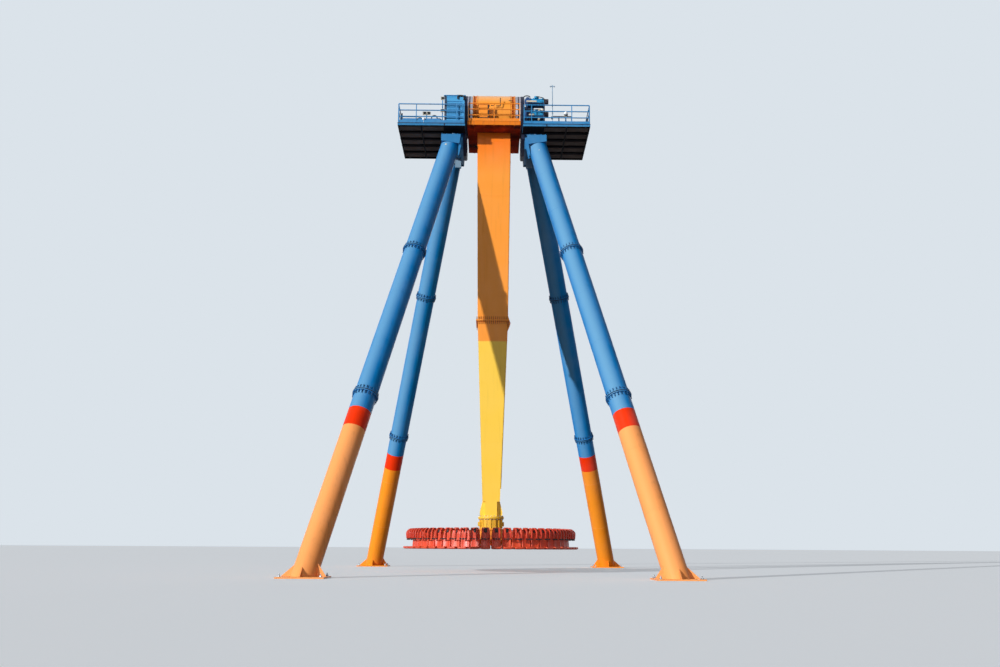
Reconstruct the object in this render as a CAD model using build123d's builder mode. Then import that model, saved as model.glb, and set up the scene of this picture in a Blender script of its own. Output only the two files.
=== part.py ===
from build123d import *
import math
import os

# Pendulum ride: four tubular legs carry an axle about 25 m up, a tapered arm swings from it,
# and a round gondola with outward facing seats turns on the arm's foot.
# Millimetres and degrees. X is across, along the axle; Y is the way the arm swings; Z is up.
# The origin is on the ground, under the middle of the axle.

os.makedirs("parts", exist_ok=True)

# Driving dimensions

pivot_height = 24840        # axle centre above the ground

# Legs: the axis of each tube runs from the foot, on the ground, to the underside of the head
foot_x = 7345
foot_y = 12124
leg_top_x = 2370
leg_top_y = 1288
head_drop = 2240            # from the axle down to the leg head's underside
leg_tube_r = 508
leg_flange_r = 585
leg_flange_t = 55
lower_joint_height = 7790
upper_joint_height = 15600

# Foot welded to each leg
base_size = 1900
base_t = 60
anchor_spacing = 1600
anchor_hole_r = 35
foot_rib_t = 40
foot_rib_height = 600
foot_rib_margin = 60        # from a rib's end to the edge of the base plate
foot_rib_cover = 400        # half of a rib's top edge, inside the tube

# Leg head
wall_in_x = 1500            # inner face of the bearing wall
wall_t = 170
head_length = 1180          # along X, outwards from the bearing wall
head_depth = 3740           # along Y
head_box_height = 450
head_rise = 200             # the box's underside is this much higher at its outer end
head_gap_top = 120          # beyond the web, the box stands this far off the bearing wall
head_gap_low = 200
head_web_depth = 2400       # the web that joins the box to the wall
riser_height = 265          # from the head box to the underside of the deck
riser_length = 880
riser_depth = 2100
wall_tip_drop = 200         # the wall's lower tip hangs below the head box
wall_tip_depth = 700
wall_base_depth = 2600
wall_crown_r = 1180
wall_window_r = 450         # hole round the axle, in the wall

# Bearings and axle
axle_r = 400
axle_gap = 0.3              # running clearance round the axle
axle_flange_r = 700
axle_flange_t = 60
block_length = 530
block_crown_r = 640
block_foot_drop = 700       # from the axle's centre down to the block's foot
block_foot_depth = 1700
block_foot_t = 120
pedestal_length = 580
pedestal_depth = 1800
axle_end_inset = 20         # the axle stops this short of the block's outer face

# Slew rings at the ends of the hub
slew_in_r = 850
slew_out_r = 1170
slew_gap = 6

# Hub drum
hub_half = 910              # half length of the drum's body
drum_r = 1190
hub_flange_r = 1210
hub_waist_r = 1090          # between the two flanges at each end
hub_flange_t = 60
stud_length = 150           # clear length between the two flanges at each end
hub_ring_t = 134            # turning ring on the outer flange

# Service decks on the heads
deck_in_x = 1560
deck_inner_length = 1090       # the bay over the head, with the notch for the bearing
deck_outer_length = 2520
deck_depth = 4760
deck_frame_height = 155
deck_plate_t = 40
joist_t = 70
deck_columns = 2
deck_rows = 5
notch_clearance = 50

# Guard rails
rail_height = 1100
rail_bar = 45
rail_inset = 30
toe_height = 160
toe_t = 12
mid_rails = 2
deck_posts = (0.12, 0.73)     # posts between the corner ones, as shares of a panel's length
deck_end_posts = (0.33, 0.67)
hub_posts = (0.5,)

# Hub deck, which swings with the arm
hub_deck_half_x = 1440
hub_deck_half_y = 2000
hub_deck_drop = 1300        # from the axle down to its underside
hub_deck_height = 235
hub_rail_height = 1040
strip_t = 70                # the low strips that join its front and back parts

# Arm
arm_top_width = 1820
arm_top_depth = 1900
arm_joint_height = 12980
arm_joint_width = 1580
arm_joint_depth = 1640
arm_flange_t = 35
arm_flange_lip = 85         # how far the flange stands out of the box
arm_neck_width = 900
arm_neck_depth = 940
arm_foot_height = 2700      # underside of the foot flange
arm_neck_rise = 820         # from there up to where the gussets begin
arm_column_width = 610      # the column between the gussets
arm_foot_flange_r = 660
arm_foot_flange_t = 60
gusset_t = 30
gusset_reach = 578          # from the arm's axis to a gusset's outer edge
gusset_rise = 300           # from the foot up to where a gusset's edge turns upright
gusset_pair = 520           # distance between the two gussets of one face

# Cable duct along the arm
duct_width = 160
duct_depth = 40
duct_bulge = 90             # how far it stands out from the flange
duct_top_drop = 120         # its upper end is this far under the hub deck
duct_bottom_rise = 680      # its lower end is this far above the gussets
duct_step = 380             # height over which the duct steps out round the flange

# Turning drive and gondola; its levels are measured down from the drive's underside
drive_r = 560
drive_length = 550
drive_flange_t = 60
thrust_gap = 0.3
gondola_arms = 10
hub_flat = 800              # from the axis to a flat of the ten sided hub
hub_drop = 850
hub_deep = 350
hub_neck_r = 620
spoke_width = 220
ring_flat_in = 3650
ring_flat_out = 3850
ring_drop = 770
ring_height = 180

# Seats; their heights are measured up from the seat's base
seat_count = 50
seat_drop = 1030
seat_height = 1030
seat_width = 460
seat_back_t = 160
seat_head_width = 290
shoulder_height = 680
pan_length = 470
pan_t = 120
pan_nose = 40               # rounding off under the pan's front edge
pan_rise = 15               # the pan's front edge is this much higher
seat_neck_lean = 35         # how far the back leans in, up to the shoulders
seat_top_lean = 80          # and up to the top

# Shoulder restraints: two arms over the shoulders, two chest pads and a grip between them
restraint_width = 90
restraint_pair = 270        # between the middles of the two arms
restraint_reach = 340       # from the seat's front to the outer face of the pads
arm_root_height = 870       # underside of an arm where it leaves the back
arm_root_t = 90
arm_elbow_height = 820      # where the pads hang from the arms
arm_crown_reach = 110       # from the seat's front to the highest point of an arm
pad_thick = 90
pad_lean = 25               # a pad's lower end is this much nearer the seat
pad_end_height = 520
grip_height = 80
grip_width = 360

# Louvred cabinet on the left deck
cabinet_width = 1080
cabinet_depth = 700
cabinet_height = 1630
cabinet_x = 2130
cabinet_edge = 510          # from the deck's front edge to the cabinet's middle
louvre_count = 9
louvre_pitch = 120
louvre_height = 60
louvre_depth = 25
louvre_width = 820

# Drive set on the right deck: a stand with two shelves and a geared motor on each
stand_x = 2240              # middle of the stand
stand_edge = 510            # from the deck's front edge to its middle
stand_length = 1000
stand_depth = 620
stand_post = 90
shelf_t = 40
low_shelf = 540             # top of each shelf above the deck
high_shelf = 1300
motor_r = 155
motor_length = 665
motor_fin_r = 175
motor_fins = 7
motor_fin_t = 16
motor_foot = 200            # from the motor's axis down to its shelf
motor_tail_r = 145          # fan cowl
motor_tail = 250
gearbox_r = 185
gearbox_length = 350
gearbox_bevel = 70
gearbox_out_x = 1655        # the gearboxes' outer ends
motor_neck = 20             # from a gearbox to the motor's flange

# Floodlights: each stalk's x, its height, and where its heads sit: across from it and above the deck
lamp_stalks = ((-2790, 1540, ((0, 1540), (0, 830))), (-3640, 660, ((-110, 660), (110, 660))),
               (3880, 650, ((0, 650),)))
lamp_edge = 260             # from the deck's front edge to the stalks
lamp_stalk = 50             # square stalk
lamp_foot = 180
lamp_foot_t = 20
lamp_width = 200            # the glass
lamp_height = 180
lamp_back_width = 140       # the back of the housing
lamp_back_height = 120
lamp_depth = 160
lamp_tilt = 35              # heads point down and outwards

# Wind gauge mast on the right deck
mast_x = 3150
mast_edge = 130             # from the deck's front edge
mast_r = 22
mast_height = 2260
mast_foot_r = 90
gauge_cup_r = 38
gauge_arm_r = 100
gauge_t = 30

# Control cabinet on the hub deck
hub_cabinet_x = -560
hub_cabinet_width = 560
hub_cabinet_depth = 240
hub_cabinet_foot = 380      # height of the stem under it
hub_cabinet_height = 730
hub_stem_width = 240
hub_stem_depth = 140

# Sizes that follow from the ones above

head_under = pivot_height - head_drop
deck_under = head_under + head_box_height + riser_height
deck_top = deck_under + deck_frame_height
wall_out_x = wall_in_x + wall_t
wall_tip = head_under - wall_tip_drop
head_top = head_under + head_box_height
head_out_x = wall_out_x + head_length
head_under_in = head_under - head_rise * (leg_top_x - wall_out_x) / head_length
head_top_x = wall_out_x + head_gap_top
head_low_x = wall_out_x + head_gap_low
head_under_low = head_under_in + head_rise * head_gap_low / head_length
block_under = pivot_height - block_foot_drop
block_out_x = wall_out_x + block_length
hub_end_x = hub_half + 2 * hub_flange_t + stud_length
hub_ring_x = hub_end_x + hub_ring_t
deck_out_x = deck_in_x + deck_inner_length + deck_outer_length
cabinet_y = cabinet_edge - deck_depth / 2
stand_y = stand_edge - deck_depth / 2
lamp_y = lamp_edge - deck_depth / 2
mast_y = mast_edge - deck_depth / 2
hub_deck_under = pivot_height - hub_deck_drop
hub_deck_top = hub_deck_under + hub_deck_height
arm_neck_height = arm_foot_height + arm_neck_rise
drive_under = arm_foot_height - drive_length
leg_stretch = math.dist((foot_x, foot_y, 0), (leg_top_x, leg_top_y, head_under)) / head_under
leg_lean_x = (foot_x - leg_top_x) / head_under
leg_lean_y = (foot_y - leg_top_y) / head_under

sides = (("left", -1), ("right", 1))
ends = (("front", -1), ("back", 1))


def leg_plane(side, end):
    """Plane square to a leg's axis, its origin where the axis meets the ground."""
    foot = Vector(side * foot_x, end * foot_y, 0)
    top = Vector(side * leg_top_x, end * leg_top_y, head_under)
    return Plane(origin=foot, z_dir=top - foot)


def radial_plane(angle):
    """Upright plane through the arm's axis: its x runs outwards and its y runs up."""
    turn = math.radians(angle)
    return Plane(origin=(0, 0, 0), x_dir=(math.cos(turn), math.sin(turn), 0),
                 z_dir=(math.sin(turn), -math.cos(turn), 0))


# Legs: three tube sections each, bolted at flanges, the lowest with its welded foot

def leg_lower(side, end, name):
    axis = leg_plane(side, end)
    joint = lower_joint_height * leg_stretch
    foot = (side * foot_x, end * foot_y)
    lean_x = -side * leg_lean_x * foot_rib_height
    lean_y = -end * leg_lean_y * foot_rib_height
    rib_half = base_size / 2 - foot_rib_margin
    with BuildPart() as leg:
        with BuildSketch(axis.offset(-leg_tube_r)):
            Circle(leg_tube_r)
        extrude(amount=leg_tube_r + joint)
        with BuildSketch(axis.offset(joint - leg_flange_t)):
            Circle(leg_flange_r)
        extrude(amount=leg_flange_t)
        split(bisect_by=Plane.XY.offset(base_t / 2), keep=Keep.TOP)
        with BuildSketch(Plane.XZ.offset(-end * foot_y)):
            with Locations((side * foot_x, 0)):
                Polygon((-rib_half, base_t), (rib_half, base_t),
                        (lean_x + foot_rib_cover, foot_rib_height),
                        (lean_x - foot_rib_cover, foot_rib_height), align=None)
        extrude(amount=foot_rib_t / 2, both=True)
        with BuildSketch(Plane.YZ.offset(side * foot_x)):
            with Locations((end * foot_y, 0)):
                Polygon((-rib_half, base_t), (rib_half, base_t),
                        (lean_y + foot_rib_cover, foot_rib_height),
                        (lean_y - foot_rib_cover, foot_rib_height), align=None)
        extrude(amount=foot_rib_t / 2, both=True)
        with BuildSketch(Plane.XY):
            with Locations(foot):
                Rectangle(base_size, base_size)
        extrude(amount=base_t)
        with BuildSketch(Plane.XY):
            with Locations(foot):
                with GridLocations(anchor_spacing, anchor_spacing, 2, 2):
                    Circle(anchor_hole_r)
        extrude(amount=base_t, mode=Mode.SUBTRACT)
    leg.part.label = name
    export_step(leg.part, f"parts/{name}.step")


def leg_middle(side, end, name):
    axis = leg_plane(side, end)
    low = lower_joint_height * leg_stretch
    high = upper_joint_height * leg_stretch
    with BuildPart() as leg:
        with BuildSketch(axis.offset(low)):
            Circle(leg_tube_r)
        extrude(amount=high - low)
        with BuildSketch(axis.offset(low), axis.offset(high - leg_flange_t)):
            Circle(leg_flange_r)
        extrude(amount=leg_flange_t)
    leg.part.label = name
    export_step(leg.part, f"parts/{name}.step")


def leg_upper(side, end, name):
    axis = leg_plane(side, end)
    joint = upper_joint_height * leg_stretch
    top = head_under * leg_stretch + leg_tube_r
    cut = Plane(origin=(side * leg_top_x, 0, head_under), z_dir=(-side * head_rise, 0, head_length))
    with BuildPart() as leg:
        with BuildSketch(axis.offset(joint)):
            Circle(leg_tube_r)
        extrude(amount=top - joint)
        with BuildSketch(axis.offset(joint)):
            Circle(leg_flange_r)
        extrude(amount=leg_flange_t)
        split(bisect_by=cut, keep=Keep.BOTTOM)
    leg.part.label = name
    export_step(leg.part, f"parts/{name}.step")


for side_name, side in sides:
    for end_name, end in ends:
        leg_name = f"leg_{end_name}_{side_name}"
        leg_lower(side, end, f"{leg_name}_lower")
        leg_middle(side, end, f"{leg_name}_middle")
        leg_upper(side, end, f"{leg_name}_upper")


# Leg heads: box over the two tubes, its underside square across their lean, a riser under the
# deck, bearing wall and pedestal

for side_name, side in sides:
    with BuildPart() as head:
        with BuildSketch(Plane.XZ):
            Polygon((side * head_low_x, head_under_low), (side * head_out_x, head_under_in + head_rise),
                    (side * head_out_x, head_top), (side * head_top_x, head_top), align=None)
        extrude(amount=head_depth / 2, both=True)
        with BuildSketch(Plane.XZ):
            Polygon((side * wall_out_x, head_under_in), (side * head_low_x, head_under_low),
                    (side * head_top_x, head_top), (side * wall_out_x, head_top), align=None)
        extrude(amount=head_web_depth / 2, both=True)
        with BuildSketch(Plane.YZ.offset(side * wall_out_x)):
            with Locations((0, head_top + riser_height / 2)):
                Rectangle(riser_depth, riser_height)
        extrude(amount=side * riser_length)
        with BuildSketch(Plane.YZ.offset(side * wall_out_x)):
            with Locations((0, (head_top + block_under) / 2)):
                Rectangle(pedestal_depth, block_under - head_top)
        extrude(amount=side * pedestal_length)
        with BuildSketch(Plane.YZ.offset(side * wall_in_x)):
            Polygon((-wall_tip_depth / 2, wall_tip), (wall_tip_depth / 2, wall_tip),
                    (wall_base_depth / 2, head_top), (wall_crown_r, pivot_height),
                    (-wall_crown_r, pivot_height), (-wall_base_depth / 2, head_top), align=None)
            with Locations((0, pivot_height)):
                Circle(wall_crown_r)
                Circle(wall_window_r, mode=Mode.SUBTRACT)
        extrude(amount=side * wall_t)
    head.part.label = f"head_{side_name}"
    export_step(head.part, f"parts/head_{side_name}.step")


# Bearing blocks, bored for the axle, bolted on the pedestals

for side_name, side in sides:
    with BuildPart() as bearing:
        with BuildSketch(Plane.YZ.offset(side * wall_out_x)):
            with Locations((0, pivot_height)):
                Circle(block_crown_r)
            with Locations((0, block_under + block_foot_t / 2)):
                Rectangle(block_foot_depth, block_foot_t)
            with Locations((0, (block_under + pivot_height) / 2)):
                Rectangle(2 * block_crown_r, block_foot_drop)
            with Locations((0, pivot_height)):
                Circle(axle_r + axle_gap, mode=Mode.SUBTRACT)
        extrude(amount=side * block_length)
    bearing.part.label = f"bearing_{side_name}"
    export_step(bearing.part, f"parts/bearing_{side_name}.step")


# Fixed slew rings on the inner faces of the bearing walls

for side_name, side in sides:
    with BuildPart() as slew_ring:
        with BuildSketch(Plane.YZ.offset(side * (hub_ring_x + slew_gap))):
            with Locations((0, pivot_height)):
                Circle(slew_out_r)
                Circle(slew_in_r, mode=Mode.SUBTRACT)
        extrude(amount=side * (wall_in_x - hub_ring_x - slew_gap))
    slew_ring.part.label = f"slew_ring_{side_name}"
    export_step(slew_ring.part, f"parts/slew_ring_{side_name}.step")


# Service decks: a notch round the bearing, and joists under the outer bays

bay_x = (deck_outer_length - (deck_columns + 1) * joist_t) / deck_columns
bay_y = (deck_depth - (deck_rows + 1) * joist_t) / deck_rows
notch_out_x = wall_out_x + pedestal_length + notch_clearance
notch_half = wall_base_depth / 2 + notch_clearance
outer_bay_middle = deck_in_x + deck_inner_length + deck_outer_length / 2

for side_name, side in sides:
    with BuildPart() as platform:
        with BuildSketch(Plane.XY.offset(deck_under)):
            with Locations((side * (deck_in_x + deck_out_x) / 2, 0)):
                Rectangle(deck_out_x - deck_in_x, deck_depth)
            with Locations((side * (deck_in_x + notch_out_x) / 2, 0)):
                Rectangle(notch_out_x - deck_in_x, 2 * notch_half, mode=Mode.SUBTRACT)
        extrude(amount=deck_frame_height)
        with BuildSketch(Plane.XY.offset(deck_under)):
            with Locations((side * outer_bay_middle, 0)):
                with GridLocations(bay_x + joist_t, bay_y + joist_t, deck_columns, deck_rows):
                    Rectangle(bay_x, bay_y)
        extrude(amount=deck_frame_height - deck_plate_t, mode=Mode.SUBTRACT)
    platform.part.label = f"platform_{side_name}"
    export_step(platform.part, f"parts/platform_{side_name}.step")


# Guard rails: each flat side is one panel of square tube with a toe board

def rail_panel(start, finish, floor, height, inner_posts):
    """One upright panel between two points of the deck's plan, with a post at each end."""
    along = Vector(*finish) - Vector(*start)
    length = along.length
    plane = Plane(origin=(start[0], start[1], floor), x_dir=along, z_dir=along.cross(Vector(0, 0, 1)))
    posts = [(rail_bar / 2, height / 2), (length - rail_bar / 2, height / 2)]
    posts += [(share * length, height / 2) for share in inner_posts]
    rail_pitch = (height - rail_bar / 2) / (mid_rails + 1)
    with BuildPart() as panel:
        with BuildSketch(plane):
            with Locations(posts):
                Rectangle(rail_bar, height)
            for step in range(mid_rails + 1):
                with Locations((length / 2, height - rail_bar / 2 - step * rail_pitch)):
                    Rectangle(length, rail_bar)
        extrude(amount=rail_bar / 2, both=True)
        with BuildSketch(plane):
            with Locations((length / 2, toe_height / 2)):
                Rectangle(length, toe_height)
        extrude(amount=toe_t / 2, both=True)
    return panel.part


rail_y = deck_depth / 2 - rail_inset
rail_out_x = deck_out_x - rail_inset
rail_in_x = deck_in_x + rail_inset

for side_name, side in sides:
    panels = [rail_panel((side * rail_in_x, end * rail_y), (side * rail_out_x, end * rail_y),
                         deck_top, rail_height, deck_posts) for end_name, end in ends]
    panels.append(rail_panel((side * rail_out_x, rail_bar - rail_y), (side * rail_out_x, rail_y - rail_bar),
                             deck_top, rail_height, deck_end_posts))
    with BuildPart() as rails:
        add(panels)
    rails.part.label = f"rails_{side_name}"
    export_step(rails.part, f"parts/rails_{side_name}.step")


# Louvred cabinet on the left deck

louvre_middle = deck_top + cabinet_height / 2
with BuildPart() as cabinet:
    with BuildSketch(Plane.XY.offset(deck_top)):
        with Locations((-cabinet_x, cabinet_y)):
            Rectangle(cabinet_width, cabinet_depth)
    extrude(amount=cabinet_height)
    with BuildSketch(Plane.XZ.offset(-cabinet_y + cabinet_depth / 2)):
        with Locations((-cabinet_x, louvre_middle)):
            with GridLocations(1, louvre_pitch, 1, louvre_count):
                Rectangle(louvre_width, louvre_height)
    extrude(amount=-louvre_depth, mode=Mode.SUBTRACT)
cabinet.part.label = "cabinet_left"
export_step(cabinet.part, "parts/cabinet_left.step")


# Drive set on the right deck: stand, then geared motors with cooling fins on its shelves

with BuildPart() as drive_stand:
    with BuildSketch(Plane.XY.offset(deck_top)):
        with Locations((stand_x, stand_y)):
            with GridLocations(stand_length - stand_post, stand_depth - stand_post, 2, 2):
                Rectangle(stand_post, stand_post)
    extrude(amount=high_shelf - shelf_t)
    with BuildSketch(Plane.XY.offset(deck_top + low_shelf - shelf_t),
                     Plane.XY.offset(deck_top + high_shelf - shelf_t)):
        with Locations((stand_x, stand_y)):
            Rectangle(stand_length, stand_depth)
    extrude(amount=shelf_t)
drive_stand.part.label = "drive_stand"
export_step(drive_stand.part, "parts/drive_stand.step")

gearbox_in_x = gearbox_out_x + gearbox_length
motor_x = gearbox_in_x + motor_neck
fin_pitch = motor_length / (motor_fins + 1)
with BuildPart() as gear_motors:
    for shelf in (low_shelf, high_shelf):
        shelf_top = deck_top + shelf
        axis_height = shelf_top + motor_foot
        with BuildSketch(Plane.YZ.offset(gearbox_out_x)):
            with Locations((stand_y, axis_height)):
                Circle(gearbox_r)
        extrude(amount=gearbox_length)
        chamfer(gear_motors.edges(Select.LAST).sort_by(Axis.X)[0], gearbox_bevel)
        with BuildSketch(Plane.YZ.offset(gearbox_in_x)):
            with Locations((stand_y, axis_height)):
                Circle(motor_r)
        extrude(amount=motor_neck + motor_length)
        for step in range(motor_fins):
            with BuildSketch(Plane.YZ.offset(motor_x + (step + 1) * fin_pitch - motor_fin_t / 2)):
                with Locations((stand_y, axis_height)):
                    Circle(motor_fin_r)
            extrude(amount=motor_fin_t)
        with BuildSketch(Plane.YZ.offset(motor_x + motor_length)):
            with Locations((stand_y, axis_height)):
                Circle(motor_tail_r)
        extrude(amount=motor_tail)
        with BuildSketch(Plane.XY.offset(shelf_top)):
            with Locations((gearbox_out_x + (gearbox_length + gearbox_bevel) / 2, stand_y)):
                Rectangle(gearbox_length - gearbox_bevel, 2 * gearbox_r)
            with Locations((motor_x + motor_length / 2, stand_y)):
                Rectangle(motor_length / 2, 2 * motor_r)
        extrude(amount=motor_foot)
gear_motors.part.label = "gear_motors"
export_step(gear_motors.part, "parts/gear_motors.step")


# Floodlights on square stalks

lamp_aim = (0, -math.cos(math.radians(lamp_tilt)), -math.sin(math.radians(lamp_tilt)))
with BuildPart() as lamps:
    for lamp_x, stalk_height, heads in lamp_stalks:
        with BuildSketch(Plane.XY.offset(deck_top)):
            with Locations((lamp_x, lamp_y)):
                Rectangle(lamp_foot, lamp_foot)
        extrude(amount=lamp_foot_t)
        with BuildSketch(Plane.XY.offset(deck_top)):
            with Locations((lamp_x, lamp_y)):
                Rectangle(lamp_stalk, lamp_stalk)
        extrude(amount=stalk_height)
        for across, height in heads:
            head = Plane(origin=(lamp_x + across, lamp_y, deck_top + height), x_dir=(1, 0, 0),
                         z_dir=lamp_aim)
            with BuildSketch(head.offset(-lamp_depth / 2)):
                Rectangle(lamp_back_width, lamp_back_height)
            with BuildSketch(head.offset(lamp_depth / 2)):
                Rectangle(lamp_width, lamp_height)
            loft()
lamps.part.label = "lamps"
export_step(lamps.part, "parts/lamps.step")


# Mast with a cup wind gauge

with BuildPart() as mast:
    with BuildSketch(Plane.XY.offset(deck_top)):
        with Locations((mast_x, mast_y)):
            Circle(mast_foot_r)
    extrude(amount=lamp_foot_t)
    with BuildSketch(Plane.XY.offset(deck_top)):
        with Locations((mast_x, mast_y)):
            Circle(mast_r)
    extrude(amount=mast_height)
    with BuildSketch(Plane.XY.offset(deck_top + mast_height - 2 * gauge_t)):
        with Locations((mast_x, mast_y)):
            Rectangle(2 * gauge_arm_r, gauge_t)
            with PolarLocations(gauge_arm_r, 2):
                Circle(gauge_cup_r)
    extrude(amount=gauge_t)
mast.part.label = "mast"
export_step(mast.part, "parts/mast.step")


# Stub axles, each with a flange on the hub's end

for side_name, side in sides:
    with BuildPart() as axle:
        with BuildSketch(Plane.YZ.offset(side * hub_end_x)):
            with Locations((0, pivot_height)):
                Circle(axle_flange_r)
        extrude(amount=side * axle_flange_t)
        with BuildSketch(Plane.YZ.offset(side * hub_end_x)):
            with Locations((0, pivot_height)):
                Circle(axle_r)
        extrude(amount=side * (block_out_x - axle_end_inset - hub_end_x))
    axle.part.label = f"axle_{side_name}"
    export_step(axle.part, f"parts/axle_{side_name}.step")


# Hub drum: body, a pair of flanges and a turning ring at each end, and the neck for the arm

with BuildPart() as hub_drum:
    with BuildSketch(Plane.YZ.offset(-hub_end_x)):
        with Locations((0, pivot_height)):
            Circle(hub_waist_r)
    extrude(amount=2 * hub_end_x)
    with BuildSketch(Plane.YZ.offset(-hub_half)):
        with Locations((0, pivot_height)):
            Circle(drum_r)
    extrude(amount=2 * hub_half)
    for end_x in (-hub_end_x, -hub_half - hub_flange_t, hub_half, hub_end_x - hub_flange_t):
        with BuildSketch(Plane.YZ.offset(end_x)):
            with Locations((0, pivot_height)):
                Circle(hub_flange_r)
        extrude(amount=hub_flange_t)
    for end_x in (-hub_ring_x, hub_end_x):
        with BuildSketch(Plane.YZ.offset(end_x)):
            with Locations((0, pivot_height)):
                Circle(slew_out_r)
                Circle(slew_in_r, mode=Mode.SUBTRACT)
        extrude(amount=hub_ring_t)
    with BuildSketch(Plane.XY.offset(hub_deck_under)):
        Rectangle(arm_top_width, arm_top_depth)
    extrude(amount=pivot_height - hub_deck_under)
hub_drum.part.label = "hub_drum"
export_step(hub_drum.part, "parts/hub_drum.step")


# Hub deck: front and back decks joined by low strips that pass under the slew rings

with BuildPart() as hub_platform:
    with BuildSketch(Plane.XY.offset(hub_deck_under)):
        Rectangle(2 * hub_deck_half_x, 2 * hub_deck_half_y)
        Rectangle(arm_top_width, arm_top_depth, mode=Mode.SUBTRACT)
    extrude(amount=hub_deck_height)
    with BuildSketch(Plane.XY.offset(hub_deck_under + strip_t)):
        Rectangle(2 * hub_deck_half_x, arm_top_depth)
    extrude(amount=hub_deck_height, mode=Mode.SUBTRACT)
hub_platform.part.label = "hub_platform"
export_step(hub_platform.part, "parts/hub_platform.step")

hub_rail_y = hub_deck_half_y - rail_inset
hub_rail_x = hub_deck_half_x - rail_inset
panels = [rail_panel((-hub_rail_x, end * hub_rail_y), (hub_rail_x, end * hub_rail_y),
                     hub_deck_top, hub_rail_height, hub_posts) for end_name, end in ends]
with BuildPart() as hub_rails:
    add(panels)
hub_rails.part.label = "hub_rails"
export_step(hub_rails.part, "parts/hub_rails.step")

hub_cabinet_y = -(hub_deck_half_y + arm_top_depth / 2) / 2
with BuildPart() as hub_cabinet:
    with BuildSketch(Plane.XY.offset(hub_deck_top)):
        with Locations((hub_cabinet_x, hub_cabinet_y)):
            Rectangle(hub_stem_width, hub_stem_depth)
    extrude(amount=hub_cabinet_foot)
    with BuildSketch(Plane.XY.offset(hub_deck_top + hub_cabinet_foot)):
        with Locations((hub_cabinet_x, hub_cabinet_y)):
            Rectangle(hub_cabinet_width, hub_cabinet_depth)
    extrude(amount=hub_cabinet_height)
hub_cabinet.part.label = "hub_cabinet"
export_step(hub_cabinet.part, "parts/hub_cabinet.step")


# Arm: two tapered box sections, bolted at a flange at mid height

with BuildPart() as arm_upper:
    with BuildSketch(Plane.XY.offset(arm_joint_height)):
        Rectangle(arm_joint_width, arm_joint_depth)
    with BuildSketch(Plane.XY.offset(hub_deck_under)):
        Rectangle(arm_top_width, arm_top_depth)
    loft()
    with BuildSketch(Plane.XY.offset(arm_joint_height)):
        Rectangle(arm_joint_width + 2 * arm_flange_lip, arm_joint_depth + 2 * arm_flange_lip)
    extrude(amount=arm_flange_t)
arm_upper.part.label = "arm_upper"
export_step(arm_upper.part, "parts/arm_upper.step")

foot_top = arm_foot_height + arm_foot_flange_t
gusset_shoulder = arm_foot_height + gusset_rise
with BuildPart() as arm_lower:
    with BuildSketch(Plane.XY.offset(arm_neck_height)):
        Rectangle(arm_neck_width, arm_neck_depth)
    with BuildSketch(Plane.XY.offset(arm_joint_height)):
        Rectangle(arm_joint_width, arm_joint_depth)
    loft()
    with BuildSketch(Plane.XY.offset(arm_joint_height - arm_flange_t)):
        Rectangle(arm_joint_width + 2 * arm_flange_lip, arm_joint_depth + 2 * arm_flange_lip)
    extrude(amount=arm_flange_t)
    with BuildSketch(Plane.XY.offset(arm_foot_height)):
        Rectangle(arm_column_width, arm_neck_depth)
    extrude(amount=arm_neck_height - arm_foot_height)
    with BuildSketch(Plane.XZ.offset(gusset_pair / 2), Plane.XZ.offset(-gusset_pair / 2)):
        Polygon((-gusset_reach, foot_top), (gusset_reach, foot_top),
                (gusset_reach, gusset_shoulder), (arm_neck_width / 2, arm_neck_height),
                (-arm_neck_width / 2, arm_neck_height), (-gusset_reach, gusset_shoulder),
                align=None)
    extrude(amount=gusset_t / 2, both=True)
    with BuildSketch(Plane.XY.offset(arm_foot_height)):
        Circle(arm_foot_flange_r)
    extrude(amount=arm_foot_flange_t)
arm_lower.part.label = "arm_lower"
export_step(arm_lower.part, "parts/arm_lower.step")


# Cable duct down the arm's right face, stepping out round the flange

def arm_face_x(height):
    """Half the arm's width at a height, from the taper of the section it lies on."""
    if height >= arm_joint_height:
        share = (height - arm_joint_height) / (hub_deck_under - arm_joint_height)
        return (arm_joint_width + share * (arm_top_width - arm_joint_width)) / 2
    share = (height - arm_neck_height) / (arm_joint_height - arm_neck_height)
    return (arm_neck_width + share * (arm_joint_width - arm_neck_width)) / 2


duct_top = hub_deck_under - duct_top_drop
duct_bottom = arm_neck_height + duct_bottom_rise
flange_x = arm_joint_width / 2 + arm_flange_lip
flange_high = arm_joint_height + arm_flange_t
flange_low = arm_joint_height - arm_flange_t
with BuildPart() as arm_duct:
    with BuildSketch(Plane.XZ):
        Polygon((arm_face_x(duct_top), duct_top), (arm_face_x(flange_high), flange_high),
                (flange_x, flange_high), (flange_x, flange_low),
                (arm_face_x(flange_low), flange_low), (arm_face_x(duct_bottom), duct_bottom),
                (arm_face_x(duct_bottom) + duct_depth, duct_bottom),
                (arm_face_x(flange_low - duct_step) + duct_depth, flange_low - duct_step),
                (flange_x + duct_bulge, flange_low), (flange_x + duct_bulge, flange_high),
                (arm_face_x(flange_high + duct_step) + duct_depth, flange_high + duct_step),
                (arm_face_x(duct_top) + duct_depth, duct_top), align=None)
    extrude(amount=duct_width / 2, both=True)
arm_duct.part.label = "arm_duct"
export_step(arm_duct.part, "parts/arm_duct.step")


# Turning drive under the arm's foot

with BuildPart() as gondola_drive:
    with BuildSketch(Plane.XY.offset(drive_under)):
        Circle(drive_r)
    extrude(amount=arm_foot_height - drive_under)
    with BuildSketch(Plane.XY.offset(arm_foot_height - drive_flange_t)):
        Circle(arm_foot_flange_r)
    extrude(amount=drive_flange_t)
gondola_drive.part.label = "gondola_drive"
export_step(gondola_drive.part, "parts/gondola_drive.step")


# Gondola: ten sided hub, spokes and the ring that carries the seats

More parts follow.
